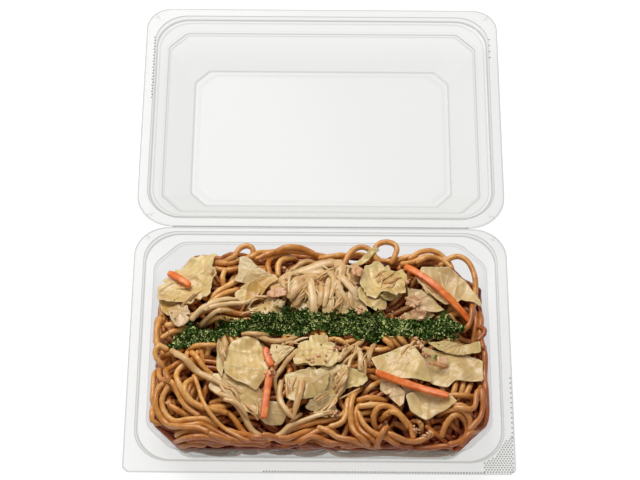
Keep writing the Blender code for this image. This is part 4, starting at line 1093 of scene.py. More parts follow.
def leaf_shape(corners, stalk, curl, ragged, green, grey, ring_count=34, around_count=144):
    """One piece of leaf: rings shrink from its outline to its middle, above and below, round a blunt rim.

    It lies on the heap as limp_cover gives, plus slow wrinkles, raised ribs on lines that fan out a little
    from far beyond the stalk point, and a rim lifted where a slow wave is high. Across it run creases, each a low ridge or
    furrow that falls off with the distance from a bent line, and one fold, where the leaf steps up to
    twice its thickness.
    """
    rim = torn_outline(corners, ragged, around_count)
    middle = rim.mean(axis=0)
    share = np.linspace(1, 0.03, ring_count) ** 0.9
    flat = (middle + (rim - middle)[None] * share[:, None, None]).reshape(-1, 2)
    span = np.repeat(share, around_count)
    size = math.sqrt(np.ptp(rim[:, 0]) * np.ptp(rim[:, 1])) / 2
    read = limp_cover(heap, rim.min(axis=0), rim.max(axis=0), 0.35, 190)
    away = flat - middle - 2.2 * (np.array(stalk, dtype=float) - middle)
    bearing = np.arctan2(away[:, 1], away[:, 0])
    reach = np.linalg.norm(away, axis=1)
    rib = (bearing + 0.010 * np.sin(reach / 4.1 + stalk[0])) * reach.mean() / RIB_GAP
    fan = np.abs(np.mod(rib + 0.3 * np.sin(stalk[1]), 1.0) - 0.5) * 2
    side = np.abs(np.mod(reach / 8.5 + 1.1 * fan + 0.4 * np.sin(rib * 1.7), 1.0) - 0.5) * 2
    vein = np.clip(1 - (1 - fan) * 7, 0, 1) + 0.35 * np.clip(1 - (1 - side) * 10, 0, 1)
    phase = chance.uniform(0, 6.3, 6)
    x, y = flat[:, 0], flat[:, 1]
    wrinkle = (0.28 * np.sin(x / 2.7 + 1.5 * np.sin(y / 5.1 + phase[0]) + phase[1])
               * np.sin(y / 3.3 + phase[2]) + 0.10 * np.sin(x / 0.95 + y / 1.3 + phase[3])
               * np.sin(y / 1.1 - x / 2.1 + phase[4])) * (0.6 + ragged)
    angle = np.tile(np.linspace(0, 2 * math.pi, around_count, endpoint=False), ring_count)
    lift = curl * (0.5 + 0.5 * np.sin(2 * angle + phase[5])) * span ** 5
    crease, edge_light = np.zeros(len(flat)), np.zeros(len(flat))
    for k in range(5):
        heading = chance.uniform(0, math.pi)
        along = (flat - middle) @ [math.cos(heading), math.sin(heading)]
        across = (flat - middle) @ [-math.sin(heading), math.cos(heading)]
        gap = across - chance.uniform(-0.7, 0.7) * size - 0.12 * size * np.sin(along / size * 2.6 + phase[k])
        if k < 4:
            crease += chance.choice([-0.4, 0.5]) * curl * np.exp(-np.abs(gap) / 0.8)
            continue
        step = 1 / (1 + np.exp(-np.clip(gap / 0.16, -30, 30)))
        crease += FOLD * min(curl, 1.0) * step * np.exp(-np.clip(gap, 0, None) / (0.5 * size))
        edge_light = np.exp(-((gap - 0.3) / 0.35) ** 2)
    under = read(flat) + lift + wrinkle + crease + 0.15
    wet = np.exp(-np.clip(under - heap.at(flat), 0, None) / 0.9)
    fibre = 0.5 + 0.5 * np.sin(rib * 11 + 2.0 * np.sin(reach / 4.0 + phase[1]))
    thick = LEAF * (0.75 + 0.5 * grey) * (1 - 0.45 * span ** 7) + 0.16 * vein * (1 - span ** 8)
    over = (under + thick) + np.minimum(0, LEAF_CEILING - under - thick) * 0.9
    under = over - thick
    upper = np.column_stack((flat, over))
    lower = np.column_stack((flat, under))
    edge_flat = middle + (rim - middle) * (1 + 0.35 / np.linalg.norm(rim - middle, axis=1))[:, None]
    edge = np.column_stack((edge_flat, (upper[:around_count, 2] + lower[:around_count, 2]) / 2))
    rows = np.concatenate((upper.reshape(ring_count, around_count, 3)[::-1], edge[None],
                           lower.reshape(ring_count, around_count, 3)))
    count = len(rows) * around_count
    points = np.concatenate((rows.reshape(-1, 3), rows[0].mean(axis=0)[None], rows[-1].mean(axis=0)[None]))
    quads = ring_quads(len(rows), around_count)[:, ::-1]
    around = np.arange(around_count)
    last = count - around_count + around
    fans = np.concatenate((np.column_stack((around, np.roll(around, -1), np.full(around_count, count))),
                           np.column_stack((np.roll(last, -1), last, np.full(around_count, count + 1)))))

    def all_rows(values, at_edge):
        grid = values.reshape(ring_count, around_count)
        both = np.concatenate((grid[::-1], np.full((1, around_count), at_edge), grid)).ravel()
        return np.concatenate((both, [values[-1], values[-1]]))

    values = {"vein": all_rows(np.clip(vein, 0, 1), 0.0), "fibre": all_rows(fibre, 0.5),
              "rim": all_rows(np.clip(span ** 14 + edge_light, 0, 1), 1.0), "wet": all_rows(wet, 0.0),
              "green": all_rows(np.full(len(flat), green) * (0.25 + 0.9 * span ** 3), green),
              "grey": np.full(len(points), grey)}
    for tint, spots in TINTS.items():
        amount = sum(a * np.exp(-((points[:, 0] - sx) ** 2 + (points[:, 1] - sy) ** 2) / r ** 2)
                     for sx, sy, r, a in spots)
        values[tint] = np.clip(amount, 0, 1)
    row, column = heap.cells(flat)
    for di in (-1, 0, 1):
        for dj in (-1, 0, 1):
            np.maximum.at(heap.height, (row + di, column + dj), upper[:, 2])
    return points, quads, fans, values


def cabbage_material():
    """Cooked cabbage: cream to yellow-green, half clear, veins paler, sauce in brown blotches."""
    made, tree, shader = blank_material("cooked_cabbage")
    place = node(tree, "ShaderNodeTexCoord").outputs["Object"]
    read = {name: node(tree, "ShaderNodeAttribute", attribute_name=name).outputs["Fac"]
            for name in ("vein", "fibre", "rim", "green", "grey", "wet", "gold", "pink", "pale", "brown")}
    cloud = node(tree, "ShaderNodeTexNoise", {"Vector": place, "Scale": 70.0, "Detail": 4.0,
                                              "Roughness": 0.6}).outputs["Fac"]
    stain = node(tree, "ShaderNodeTexNoise", {"Vector": place, "Scale": 210.0, "Detail": 3.0}).outputs["Fac"]
    grain = node(tree, "ShaderNodeTexNoise", {"Vector": place, "Scale": 1300.0, "Detail": 2.0}).outputs["Fac"]
    cream = colour_steps(tree, cloud, [(0.30, (0.55, 0.340, 0.100)), (0.5, (0.76, 0.515, 0.185)),
                                       (0.72, (0.88, 0.670, 0.285))])

    def mix(factor, low, high, kind="MIX"):
        return node(tree, "ShaderNodeMix", {0: factor, 6: low, 7: high}, data_type="RGBA",
                    blend_type=kind).outputs[2]

    greyer = mix(math_node(tree, "MULTIPLY", read["grey"], 0.75), cream, (0.52, 0.375, 0.215, 1.0))
    greener = mix(math_node(tree, "MULTIPLY", read["green"], 0.8), greyer, (0.50, 0.460, 0.130, 1.0))
    tinted = greener
    for tint, strength, colour in (("pale", 0.7, (0.90, 0.73, 0.38, 1.0)), ("pink", 0.7, (0.80, 0.50, 0.32, 1.0)),
                                   ("gold", 0.9, (0.56, 0.28, 0.022, 1.0))):
        tinted = mix(math_node(tree, "MULTIPLY", read[tint], strength), tinted, colour)
    streaked = mix(math_node(tree, "MULTIPLY", read["fibre"], 0.36), tinted, (0.52, 0.33, 0.115, 1.0))
    veined = mix(math_node(tree, "MULTIPLY", read["vein"], 0.30), streaked, (0.90, 0.77, 0.50, 1.0))
    lit_rim = mix(math_node(tree, "MULTIPLY", read["rim"], 0.28), veined, (0.90, 0.73, 0.45, 1.0))
    brown = colour_steps(tree, stain, [(0.24, (0.50, 0.34, 0.20)), (0.40, (1.0, 1.0, 1.0))])
    seen_through = mix(math_node(tree, "MULTIPLY", read["wet"], 0.24), lit_rim, (0.56, 0.30, 0.11, 1.0))
    spotted = mix(math_node(tree, "MULTIPLY", read["brown"], 0.8), seen_through, (0.30, 0.13, 0.035, 1.0))
    tree.links.new(mix(0.38, spotted, brown, "MULTIPLY"), shader.inputs["Base Color"])
    crumple = node(tree, "ShaderNodeTexNoise", {"Vector": place, "Scale": 420.0, "Detail": 4.0,
                                                "Roughness": 0.6}).outputs["Fac"]
    relief = math_node(tree, "MULTIPLY_ADD", crumple, 0.8, math_node(tree, "MULTIPLY", grain, 0.2))
    bump = node(tree, "ShaderNodeBump", {"Height": relief, "Strength": 0.42, "Distance": 0.0008})
    tree.links.new(bump.outputs["Normal"], shader.inputs["Normal"])
    tree.links.new(math_node(tree, "MULTIPLY_ADD", cloud, 0.3, 0.26), shader.inputs["Roughness"])
    shader.inputs["Coat Weight"].default_value = 0.25
    shader.inputs["Coat Roughness"].default_value = 0.22
    shader.inputs["Subsurface Weight"].default_value = 0.15
    shader.inputs["Subsurface Radius"].default_value = (1.0, 0.7, 0.35)
    shader.inputs["Subsurface Scale"].default_value = 0.002
    return made


cooked_cabbage = cabbage_material()
scraps = Batch()
for _, *shape in SCRAPS:
    points, quads, fans, values = leaf_shape(*shape, ring_count=20, around_count=84)
    scraps.add(points, quads, fans, **values)
scraps.finish("cabbage_scraps", cooked_cabbage, "tray")
for number, *shape in LEAVES:
    points, quads, fans, values = leaf_shape(*shape)
    leaf = fill_mesh("cabbage_leaf_" + number, points, quads, fans)
    paint(leaf, **values)
    leaf.data.materials.append(cooked_cabbage)
    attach(leaf, "tray")
    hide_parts("cabbage_" + number)

# ---- Bean sprouts ------------------------------------------------------------------------------------
# Fried bean sprouts: pale juicy stems that thin out towards the root, some with a bent tail. They lie in
# a loose heap behind the seaweed, and singly at the left.
SPROUT = 1.4                            # radius of the stem
STEM_CEILING = 37.6                     # stems press into each other rather than reach higher than this
# Each long one: node that it stands for or None, thickness, and the places it passes.
LONG_SPROUTS = [
    (None, 1.1, [(-67, 14), (-60, 19), (-52, 23), (-44, 24)]),
    (None, 0.9, [(-60, 17), (-48, 20.5), (-39, 21), (-34, 25), (-32, 29)]),
    (None, 1.0, [(-64, 12.5), (-54, 16), (-46, 17.5)]),
    (None, 1.0, [(-36, 4), (-28, 0), (-19, 0), (-10, 5)]),
    (None, 0.9, [(-40, 3), (-31, 2), (-25, 5)]),
    (None, 0.9, [(-14, -10), (-19, -15), (-23, -22), (-22, -30)]),
    ("bean_sprout_02", 1.1, [(-20, -23), (-20.6, -32), (-18.5, -39), (-13.5, -44.5), (-9.5, -41)]),
    (None, 1.2, [(-9, -26), (-10, -33), (-12, -40), (-13, -44)]),
    (None, 1.0, [(-51, 4), (-49, -4), (-50, -14)]),
    ("bean_sprout_01", 1.25, [(-77, -5), (-70, -13), (-63, -19), (-54, -24.5), (-47, -29)]),
    ("bean_sprout_03", 1.1, [(-51, -32), (-43, -37), (-38.5, -43), (-34, -49), (-27, -52.5), (-20, -51),
                             (-14, -47), (-5, -44.5), (8, -41)]),
    (None, 0.9, [(-48, -36), (-41, -39), (-36, -45)]),
    (None, 1.0, [(10, -13), (15, -6), (22, 1), (24, 6)]),
    (None, 1.0, [(21, -17), (21, -9), (19, -3)]),
    (None, 0.9, [(25, -12), (27, -4), (30, 3)]),
    (None, 0.8, [(9, -19), (12, -26), (9, -32)]),
    (None, 1.0, [(14, -17), (12.5, -24), (8, -29)]),
]
# The heap behind the seaweed, mostly squashed flat: thickness, height over width, tone, and the places.
HEAP_SPROUTS = [
    (1.10, 0.85, 0.35, [(-19, 42), (-14, 47), (-8, 51), (-3, 51.5)]),
    (2.00, 0.45, 0.70, [(-20, 38), (-12, 42), (-4, 45.5), (3, 47.5), (9, 48)]),
    (1.70, 0.45, 0.60, [(-17, 36.5), (-9, 40.5), (-2, 42.5), (4, 42)]),
    (2.00, 0.38, 0.50, [(-15.5, 25), (-11, 30.5), (-6, 35), (0, 38.5)]),
    (1.70, 0.40, 0.40, [(-15, 29.5), (-10.5, 34), (-5, 37.5), (1, 40)]),
    (1.50, 0.40, 0.30, [(-13, 21.5), (-10, 25.5), (-7.4, 30), (-5, 33)]),
    (0.55, 0.90, 0.95, [(-11.5, 39), (-15.4, 37.6), (-16.4, 33), (-16.4, 27), (-15.5, 23)]),
    (1.30, 0.50, 0.45, [(-1.4, 36.5), (0.8, 32), (0.6, 26), (-0.4, 19.5)]),
    (1.60, 0.50, 0.90, [(-5.5, 34), (-4.5, 28), (-3.6, 21), (-3, 13.5)]),
    (1.20, 0.60, 0.80, [(5.4, 37.5), (3.8, 31), (3.4, 25), (2.2, 19)]),
    (2.10, 0.35, 0.85, [(9.5, 47.5), (11, 42.5), (10.6, 38)]),
    (1.50, 0.40, 0.25, [(9, 38), (10.4, 35), (10, 31)]),
    (1.10, 0.60, 0.65, [(3.4, 42.5), (6.8, 36.5), (7.2, 30), (5.4, 23)]),
    (1.80, 0.35, 0.80, [(8.4, 32), (10.4, 26), (14, 20.5)]),
    (1.70, 0.40, 0.55, [(18, 46.5), (18.8, 42), (19.2, 38)]),
    (0.80, 0.70, 0.35, [(14.4, 41), (15.4, 36), (14, 31)]),
    (1.20, 0.50, 0.45, [(18.4, 31), (15.6, 26), (16.4, 20)]),
    (1.35, 0.50, 1.00, [(10, 37), (13.6, 32.8), (17.4, 28), (19.4, 24.6)]),
    (0.35, 1.00, 1.00, [(0.3, 46.5), (2.6, 44), (5.4, 42)]),
    (1.10, 0.45, 0.40, [(-19.8, 34), (-18.6, 29), (-19, 25)]),
]
SHREDS = 70                             # thin torn shreds over them
# Shreds elsewhere on the food: x, y, how far they spread, which way they point, and how many.
LOOSE_SHREDS = [(-50, -8, 2.5, 1.45, 7), (-45, -31, 5, 2.5, 7), (-33, -39, 4, 2.3, 5), (-15, -28, 3, 1.6, 5),
                (17, -8, 5, 0.9, 8), (23, -12, 4, 1.5, 5), (4, -38, 4, 0.8, 5), (-12, 1, 6, 0.2, 4),
                (-35, 21, 6, 0.3, 5), (32, 38, 7, 0.6, 8), (56, 33, 5, 2.0, 4), (-70, 33, 7, 0.6, 4),
                (13, -24, 5, 0.9, 5), (47, -5, 5, 0.5, 3)]


def lay_sprout(share, route, flatness=0.8, sides=14, thin_end=0.5):
    """A stem laid on the heap: thick for most of its length, thin at its last third, squashed and grooved.

    Its flat underside lies where a round one would have its own. Returns its shape and a lightness for
    each point, random from line to line along it.
    """
    flat = smooth_route(route, STEP)
    along = np.linspace(0, 1, len(flat))
    radius = SPROUT * share * (1 - thin_end * np.clip((along - 0.6) / 0.4, 0, 1) ** 1.5)
    radius = radius * (1 + 0.07 * np.sin(along * 23 + route[0][0]) + 0.04 * np.sin(along * 51 + route[0][1]))
    z = heap.rest(flat, radius * flatness, 34) - 0.15
    top = STEM_CEILING - radius * flatness
    z = np.minimum(z, top + 0.1 * np.clip(z - top, 0, None))
    heap.cover(flat, z, radius * flatness)
    points, quads, fans, run = tube(np.column_stack((flat, tucked(z, STEP, 0.8, 4.0))), radius, sides,
                                    flatness, 0.07)
    lines = chance.uniform(-0.5, 0.5, sides)
    streak = np.append(np.tile(lines, (len(points) - 2) // sides), [0.0, 0.0])
    return points, quads, fans, run / max(run[-1], 1e-6), streak


def sprout_material():
    """Juicy pale stem: cream with long faint streaks, browner where sauce has stained it."""
    made, tree, shader = blank_material("fried_bean_sprout")
    place = node(tree, "ShaderNodeTexCoord").outputs["Object"]
    tone = node(tree, "ShaderNodeAttribute", attribute_name="tone").outputs["Fac"]
    cloud = node(tree, "ShaderNodeTexNoise", {"Vector": place, "Scale": 150.0, "Detail": 3.0}).outputs["Fac"]
    fine = node(tree, "ShaderNodeTexNoise", {"Vector": place, "Scale": 1000.0, "Detail": 2.0}).outputs["Fac"]
    mixed = math_node(tree, "MULTIPLY_ADD", tone, 0.45, math_node(tree, "MULTIPLY_ADD", cloud, 0.8, -0.15))
    colour = colour_steps(tree, mixed, [(0.1, (0.43, 0.200, 0.055)), (0.4, (0.64, 0.365, 0.14)),
                                        (0.7, (0.77, 0.525, 0.255)), (1.0, (0.88, 0.70, 0.43))])
    tree.links.new(colour, shader.inputs["Base Color"])
    bump = node(tree, "ShaderNodeBump", {"Height": fine, "Strength": 0.2, "Distance": 0.0003})
    tree.links.new(bump.outputs["Normal"], shader.inputs["Normal"])
    shader.inputs["Roughness"].default_value = 0.32
    shader.inputs["Subsurface Weight"].default_value = 0.2
    shader.inputs["Subsurface Radius"].default_value = (1.0, 0.7, 0.4)
    shader.inputs["Subsurface Scale"].default_value = 0.002
    return made


fried_sprout = sprout_material()
heap_stems = Batch()
for share, flatness, tone, route in HEAP_SPROUTS:
    points, quads, fans, run, streak = lay_sprout(share, route, flatness, 16, 0.25)
    heap_stems.add(points, quads, fans, tone=tone + 0.5 * streak, run=run)
for _ in range(SHREDS):
    start = chance.uniform((-17, 20), (20, 45))
    heading = chance.normal(0.6, 0.3) if start[1] - start[0] > 34 else chance.normal(1.8, 0.55)
    ahead = np.array([math.cos(heading), math.sin(heading)]) * chance.uniform(2.0, 5.0)
    bend = chance.normal(0, 0.5, 2)
    points, quads, fans, run, streak = lay_sprout(chance.uniform(0.22, 0.55),
                                                  [start - ahead, start + bend, start + ahead], 0.6, 8)
    heap_stems.add(points, quads, fans, tone=chance.beta(1.2, 1.2) + 0.3 * streak, run=run)
stem_heap, = heap_stems.finish("sprout_heap_stems", fried_sprout, "tray")
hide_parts("bean_sprout_heap")
loose_stems = Batch()
for stands_for, share, route in LONG_SPROUTS:
    points, quads, fans, run, streak = lay_sprout(share, route)
    if stands_for is None:
        loose_stems.add(points, quads, fans, tone=chance.uniform(0.2, 0.9) + 0.4 * streak, run=run)
        continue
    stem = fill_mesh("long_sprout_" + stands_for[-2:], points, quads, fans)
    paint(stem, tone=0.75 + 0.45 * streak, run=run)
    stem.data.materials.append(fried_sprout)
    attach(stem, "tray")
    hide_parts(stands_for)
for x, y, spread, heading, count in LOOSE_SHREDS:
    for _ in range(count):
        start = np.array([x, y]) + chance.normal(0, spread / 2, 2)
        turn = heading + chance.normal(0, 0.3)
        ahead = np.array([math.cos(turn), math.sin(turn)]) * chance.uniform(2.5, 6.0)
        bend = chance.normal(0, 0.8, 2)
        points, quads, fans, run, streak = lay_sprout(chance.uniform(0.25, 0.6),
                                                      [start - ahead, start + bend, start + ahead], 0.6, 8)
        loose_stems.add(points, quads, fans, tone=chance.beta(1.2, 1.2) + 0.3 * streak, run=run)
loose_stems.finish("loose_sprouts", fried_sprout, "tray")

# ---- Carrot ------------------------------------------------------------------------------------------
# Strips cut from a carrot along its length: straight, a little twisted, with cut faces that show the
# fibres, and edges softened by frying.
CARROT_WIDE, CARROT_THICK = 3.7, 2.2
STRIP_CEILING = 35.6                    # how high the underside of a strip may lie
CARROTS = {
    "01": ((-81, 45), (-69, 34.5)),
    "02": ((45, 46.5), (78, 15.5)),
    "03": ((-28.4, -7), (-24.8, -17)),
    "04": ((-25.5, -20), (-28.4, -45.5)),
    "05": ((29, -20.5), (66, -32.5)),
}


def carrot_shape(start, end):
    """A strip of rounded square section: each ring is a circle pushed towards a square, then flattened.

    It lies on the slightly bent line that fits the heap under it, raised to clear all but a few points.
    """
    start, end = np.array(start, dtype=float), np.array(end, dtype=float)
    length = np.linalg.norm(end - start)
    along = (end - start) / length
    side = np.array([-along[1], along[0]])
    stations, sides = int(length / 0.8) + 6, 20
    t = np.linspace(0, 1, stations)
    flat = start + (end - start) * t[:, None]
    lanes = np.stack([heap.at(flat + side * k * CARROT_WIDE) for k in (-0.45, -0.2, 0, 0.2, 0.45)]).max(axis=0)
    line = np.polyval(np.polyfit(t, lanes, 2), t)
    line = np.minimum(line + max(0.0, np.percentile(lanes - line, 85)) + 0.1, STRIP_CEILING)
    turns = np.linspace(0, 2 * math.pi, sides, endpoint=False)
    bulge = (np.abs(np.cos(turns)) ** 5 + np.abs(np.sin(turns)) ** 5) ** (-1 / 5)
    taper = (1 - 0.22 * np.abs(2 * t - 1) ** 6) * (1 + 0.03 * np.sin(t * length / 2.3))
    twist = 0.22 * (t - 0.5) + 0.05 * np.sin(t * 9)
    fibre = 1 + 0.012 * np.sin(turns * 9)[None] * np.sin(t * 14)[:, None]
    across = bulge * np.cos(turns) * CARROT_WIDE / 2
    up = bulge * np.sin(turns) * CARROT_THICK / 2
    a = taper[:, None] * fibre * (across[None] * np.cos(twist)[:, None] - up[None] * np.sin(twist)[:, None])
    b = taper[:, None] * fibre * (across[None] * np.sin(twist)[:, None] + up[None] * np.cos(twist)[:, None])
    bow = 0.25 * np.sin(t * math.pi) * np.sign(start[0])
    places = flat + side * bow[:, None]
    height = line + CARROT_THICK / 2 + 0.1
    rings = np.dstack((places[:, None, 0] - side[0] * a, places[:, None, 1] - side[1] * a, height[:, None] + b))
    slant = along * 0.7
    rings[0, :, :2] += (np.cos(turns) * 0.6)[:, None] * slant
    rings[-1, :, :2] += (np.cos(turns) * 0.6)[:, None] * slant
    near, far = rings[0].mean(axis=0), rings[-1].mean(axis=0)
    inner_near = near + (rings[0] - near) * 0.86 - np.append(along * 0.25, 0)
    inner_far = far + (rings[-1] - far) * 0.86 + np.append(along * 0.25, 0)
    rings = np.concatenate((inner_near[None], rings, inner_far[None]))
    count = len(rings) * sides
    points = np.concatenate((rings.reshape(-1, 3), inner_near.mean(axis=0)[None], inner_far.mean(axis=0)[None]))
    around = np.arange(sides)
    last = count - sides + around
    fans = np.concatenate((np.column_stack((np.roll(around, -1), around, np.full(sides, count))),
                           np.column_stack((last, np.roll(last, -1), np.full(sides, count + 1)))))
    heap.cover(flat, height, np.full(len(flat), CARROT_WIDE / 2))
    return points, ring_quads(len(rings), sides), fans


def carrot_material():
    """Cooked carrot: orange with faint lengthwise fibres and a wet film of oil."""
    made, tree, shader = blank_material("cooked_carrot")
    place = node(tree, "ShaderNodeTexCoord").outputs["Object"]
    cloud = node(tree, "ShaderNodeTexNoise", {"Vector": place, "Scale": 260.0, "Detail": 4.0}).outputs["Fac"]
    fibre = node(tree, "ShaderNodeTexNoise", {"Vector": place, "Scale": 1400.0, "Detail": 3.0}).outputs["Fac"]
    colour = colour_steps(tree, cloud, [(0.28, (0.60, 0.085, 0.007)), (0.5, (0.78, 0.165, 0.018)),
                                        (0.72, (0.88, 0.31, 0.075))])
    tree.links.new(colour, shader.inputs["Base Color"])
    bump = node(tree, "ShaderNodeBump", {"Height": fibre, "Strength": 0.3, "Distance": 0.0003})
    tree.links.new(bump.outputs["Normal"], shader.inputs["Normal"])
    shader.inputs["Roughness"].default_value = 0.34
    shader.inputs["Subsurface Weight"].default_value = 0.15
    shader.inputs["Subsurface Radius"].default_value = (1.0, 0.35, 0.12)
    shader.inputs["Subsurface Scale"].default_value = 0.0015
    return made


cooked_carrot = carrot_material()
for number, ends in CARROTS.items():
    strip = fill_mesh("carrot_strip_" + number, *carrot_shape(*ends))
    strip.data.materials.append(cooked_carrot)
    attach(strip, "tray")
    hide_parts("carrot_" + number)

# ---- Seaweed -----------------------------------------------------------------------------------------
# Dried green seaweed, crumbled and strewn in a band from side to side: curled flakes of one to two
# millimetres, nearly black to bright green at random, and painted lighter the higher a flake lies in the
# pile: painted light on the upper flakes, painted shade on the lower ones.
# The band: places it passes with its half width there.
SEAWEED_BAND = [(-79, -1.5, 1.4), (-73, 2, 3.4), (-66, 4.5, 5.2), (-57, 5.5, 4.9), (-46, 8.5, 4.1), (-36, 9, 4.2),
                (-27, 9.5, 4.2), (-17, 11.5, 5.6), (-8, 12, 5.4), (0, 9.5, 3.6), (8, 10, 4.6), (20, 9.5, 6.0),
                (29, 9, 6.2), (38, 9.5, 4.8), (46, 8.5, 4.4), (55, 9.5, 5.2), (63, 10, 6.2), (70, 9.5, 4.8),
                (75, 8.5, 2.4)]
SEAWEED_HEIGHT = 1.9
FLAKE_CORNERS = 6


def flakes(places, sizes, tilt):
    """Curled flakes: each a lobed ring of corners round a middle point, one above and one below it.

    The ring's radius swings by lobes, its rim is bent up along one axis as a parabola, and the flake is
    then turned by random angles.
    """
    count = len(places)
    turns = np.linspace(0, 2 * math.pi, FLAKE_CORNERS, endpoint=False)[None]
    lobes = 1 + 0.35 * np.sin(3 * turns + chance.uniform(0, 6.3, (count, 1))) \
        + chance.uniform(-0.2, 0.2, (count, FLAKE_CORNERS))
    ring = np.stack((np.cos(turns) * lobes, np.sin(turns) * lobes * chance.uniform(0.45, 0.9, (count, 1)),
                     np.zeros((count, FLAKE_CORNERS))), -1)
    ring[..., 2] = chance.uniform(-0.2, 0.7, (count, 1)) * ring[..., 0] ** 2 \
        + chance.uniform(-0.5, 0.5, (count, 1)) * ring[..., 0] * ring[..., 1]
    middle = np.zeros((count, 2, 3))
    middle[:, 0, 2], middle[:, 1, 2] = 0.09, -0.09
    shape = np.concatenate((ring, middle), axis=1) * sizes[:, None, None] / 2
    spin, lean, roll = chance.uniform(0, 6.3, count), chance.normal(0, 1, count) * tilt, chance.uniform(0, 6.3, count)
    cs, sn = np.cos(spin)[:, None], np.sin(spin)[:, None]
    x, y, z = shape[..., 0] * cs - shape[..., 1] * sn, shape[..., 0] * sn + shape[..., 1] * cs, shape[..., 2]
    cl, sl = np.cos(lean)[:, None], np.sin(lean)[:, None]
    y, z = y * cl - z * sl, y * sl + z * cl
    cr, sr = np.cos(roll)[:, None], np.sin(roll)[:, None]
    x, y = x * cr - y * sr, x * sr + y * cr
    points = (np.stack((x, y, z), -1) + places[:, None]).reshape(-1, 3)
    around = np.arange(FLAKE_CORNERS)
    above = np.column_stack((around, np.roll(around, -1), np.full(FLAKE_CORNERS, FLAKE_CORNERS)))
    below = np.column_stack((np.roll(around, -1), around, np.full(FLAKE_CORNERS, FLAKE_CORNERS + 1)))
    shift = (np.arange(count) * (FLAKE_CORNERS + 2))[:, None, None]
    return points, (np.concatenate((above, below))[None] + shift).reshape(-1, 3)


def strewn(count):
    """Places for flakes: even along the band, dense in its middle and thin at its edges, piled upwards.

    A slow wave along the band gathers them in clumps. Also returns, for the painted light, how high each
    flake lies in its pile, more in the clumps: the higher, the lighter it is painted.
    """
    line = smooth_route(SEAWEED_BAND, 0.5)
    weight = line[:, 2] / line[:, 2].sum()
    at = chance.choice(len(line), count, p=weight)
    way = np.gradient(line[:, :2], axis=0)
    way /= np.linalg.norm(way, axis=1)[:, None]
    side = np.column_stack((-way[:, 1], way[:, 0]))
    offset = np.clip(chance.normal(0, 0.55, count), -1.15, 1.15)
    bulge = 1 + 0.16 * np.sin(line[at, 0] / 2.6 + np.sign(offset)) + 0.12 * np.sin(line[at, 0] / 1.3 + 2 * np.sign(offset))
    flat = line[at, :2] + side[at] * (offset * bulge * line[at, 2])[:, None] + chance.normal(0, 0.3, (count, 2))
    ground = limp_cover(heap, (-84, -10), (80, 24), 0.1, 25)
    clump = 0.72 + 0.28 * np.sin(flat[:, 0] / 2.4 + 2 * np.sin(flat[:, 1] / 2.9)) * np.sin(flat[:, 1] / 2.1)
    rise = SEAWEED_HEIGHT * clump * np.clip(1 - np.abs(offset) ** 2.2, 0.02, 1)
    share = chance.uniform(0, 1, count) ** 0.7
    # The second value is for the painted light and shade: flakes higher in the pile are painted lighter.
    return np.column_stack((flat, ground(flat) + 0.2 + rise * share)), share * (0.35 + 0.9 * clump)


def seaweed_material():
    """Dried seaweed: nearly black green to bright green from flake to flake, dry and rough."""
    made, tree, shader = blank_material("dried_seaweed")
    place = node(tree, "ShaderNodeTexCoord").outputs["Object"]
    tone = node(tree, "ShaderNodeAttribute", attribute_name="tone").outputs["Fac"]
    fine = node(tree, "ShaderNodeTexNoise", {"Vector": place, "Scale": 700.0, "Detail": 2.0}).outputs["Fac"]
    mixed = math_node(tree, "MULTIPLY_ADD", fine, 0.35, math_node(tree, "MULTIPLY_ADD", tone, 0.8, -0.14))
    colour = colour_steps(tree, mixed, [(0.0, (0.002, 0.008, 0.0003)), (0.3, (0.017, 0.052, 0.003)),
                                        (0.55, (0.130, 0.210, 0.024)), (0.78, (0.62, 0.66, 0.25))])
    tree.links.new(colour, shader.inputs["Base Color"])
    shader.inputs["Roughness"].default_value = 0.6
    shader.inputs["Specular IOR Level"].default_value = 0.1
    return made


dried_seaweed = seaweed_material()
places, share = strewn(15500)
points, fans = flakes(places, chance.uniform(0.8, 1.95, len(places)), 0.85)
band = fill_mesh("seaweed_flakes", points, [], fans, smooth=False)
# painted light and shade: each flake's random tone is scaled up the higher it lies in the pile
paint(band, tone=np.repeat(np.clip(chance.beta(0.5, 1.0, len(places)) * (0.4 + 0.95 * share), 0, 1),
                           FLAKE_CORNERS + 2))
band.data.materials.append(dried_seaweed)
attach(band, "tray")
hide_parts("seaweed_band")
stray_flat = np.column_stack((chance.uniform(-80, 78, 150), 8 + chance.normal(0, 8, 150)))
stray_flat = np.concatenate((stray_flat, [[59.6, -9.2], [60.2, -8.4], [60.8, -7.8]]))
stray = np.column_stack((stray_flat, heap.at(stray_flat) + 0.25))
points, fans = flakes(stray, np.append(chance.uniform(0.6, 1.3, 150), [2.0, 2.0, 1.6]), 0.3)
stray_flakes = fill_mesh("seaweed_strays", points, [], fans, smooth=False)
paint(stray_flakes, tone=np.repeat(chance.uniform(0.1, 0.7, len(stray)), FLAKE_CORNERS + 2))
stray_flakes.data.materials.append(dried_seaweed)
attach(stray_flakes, "tray")

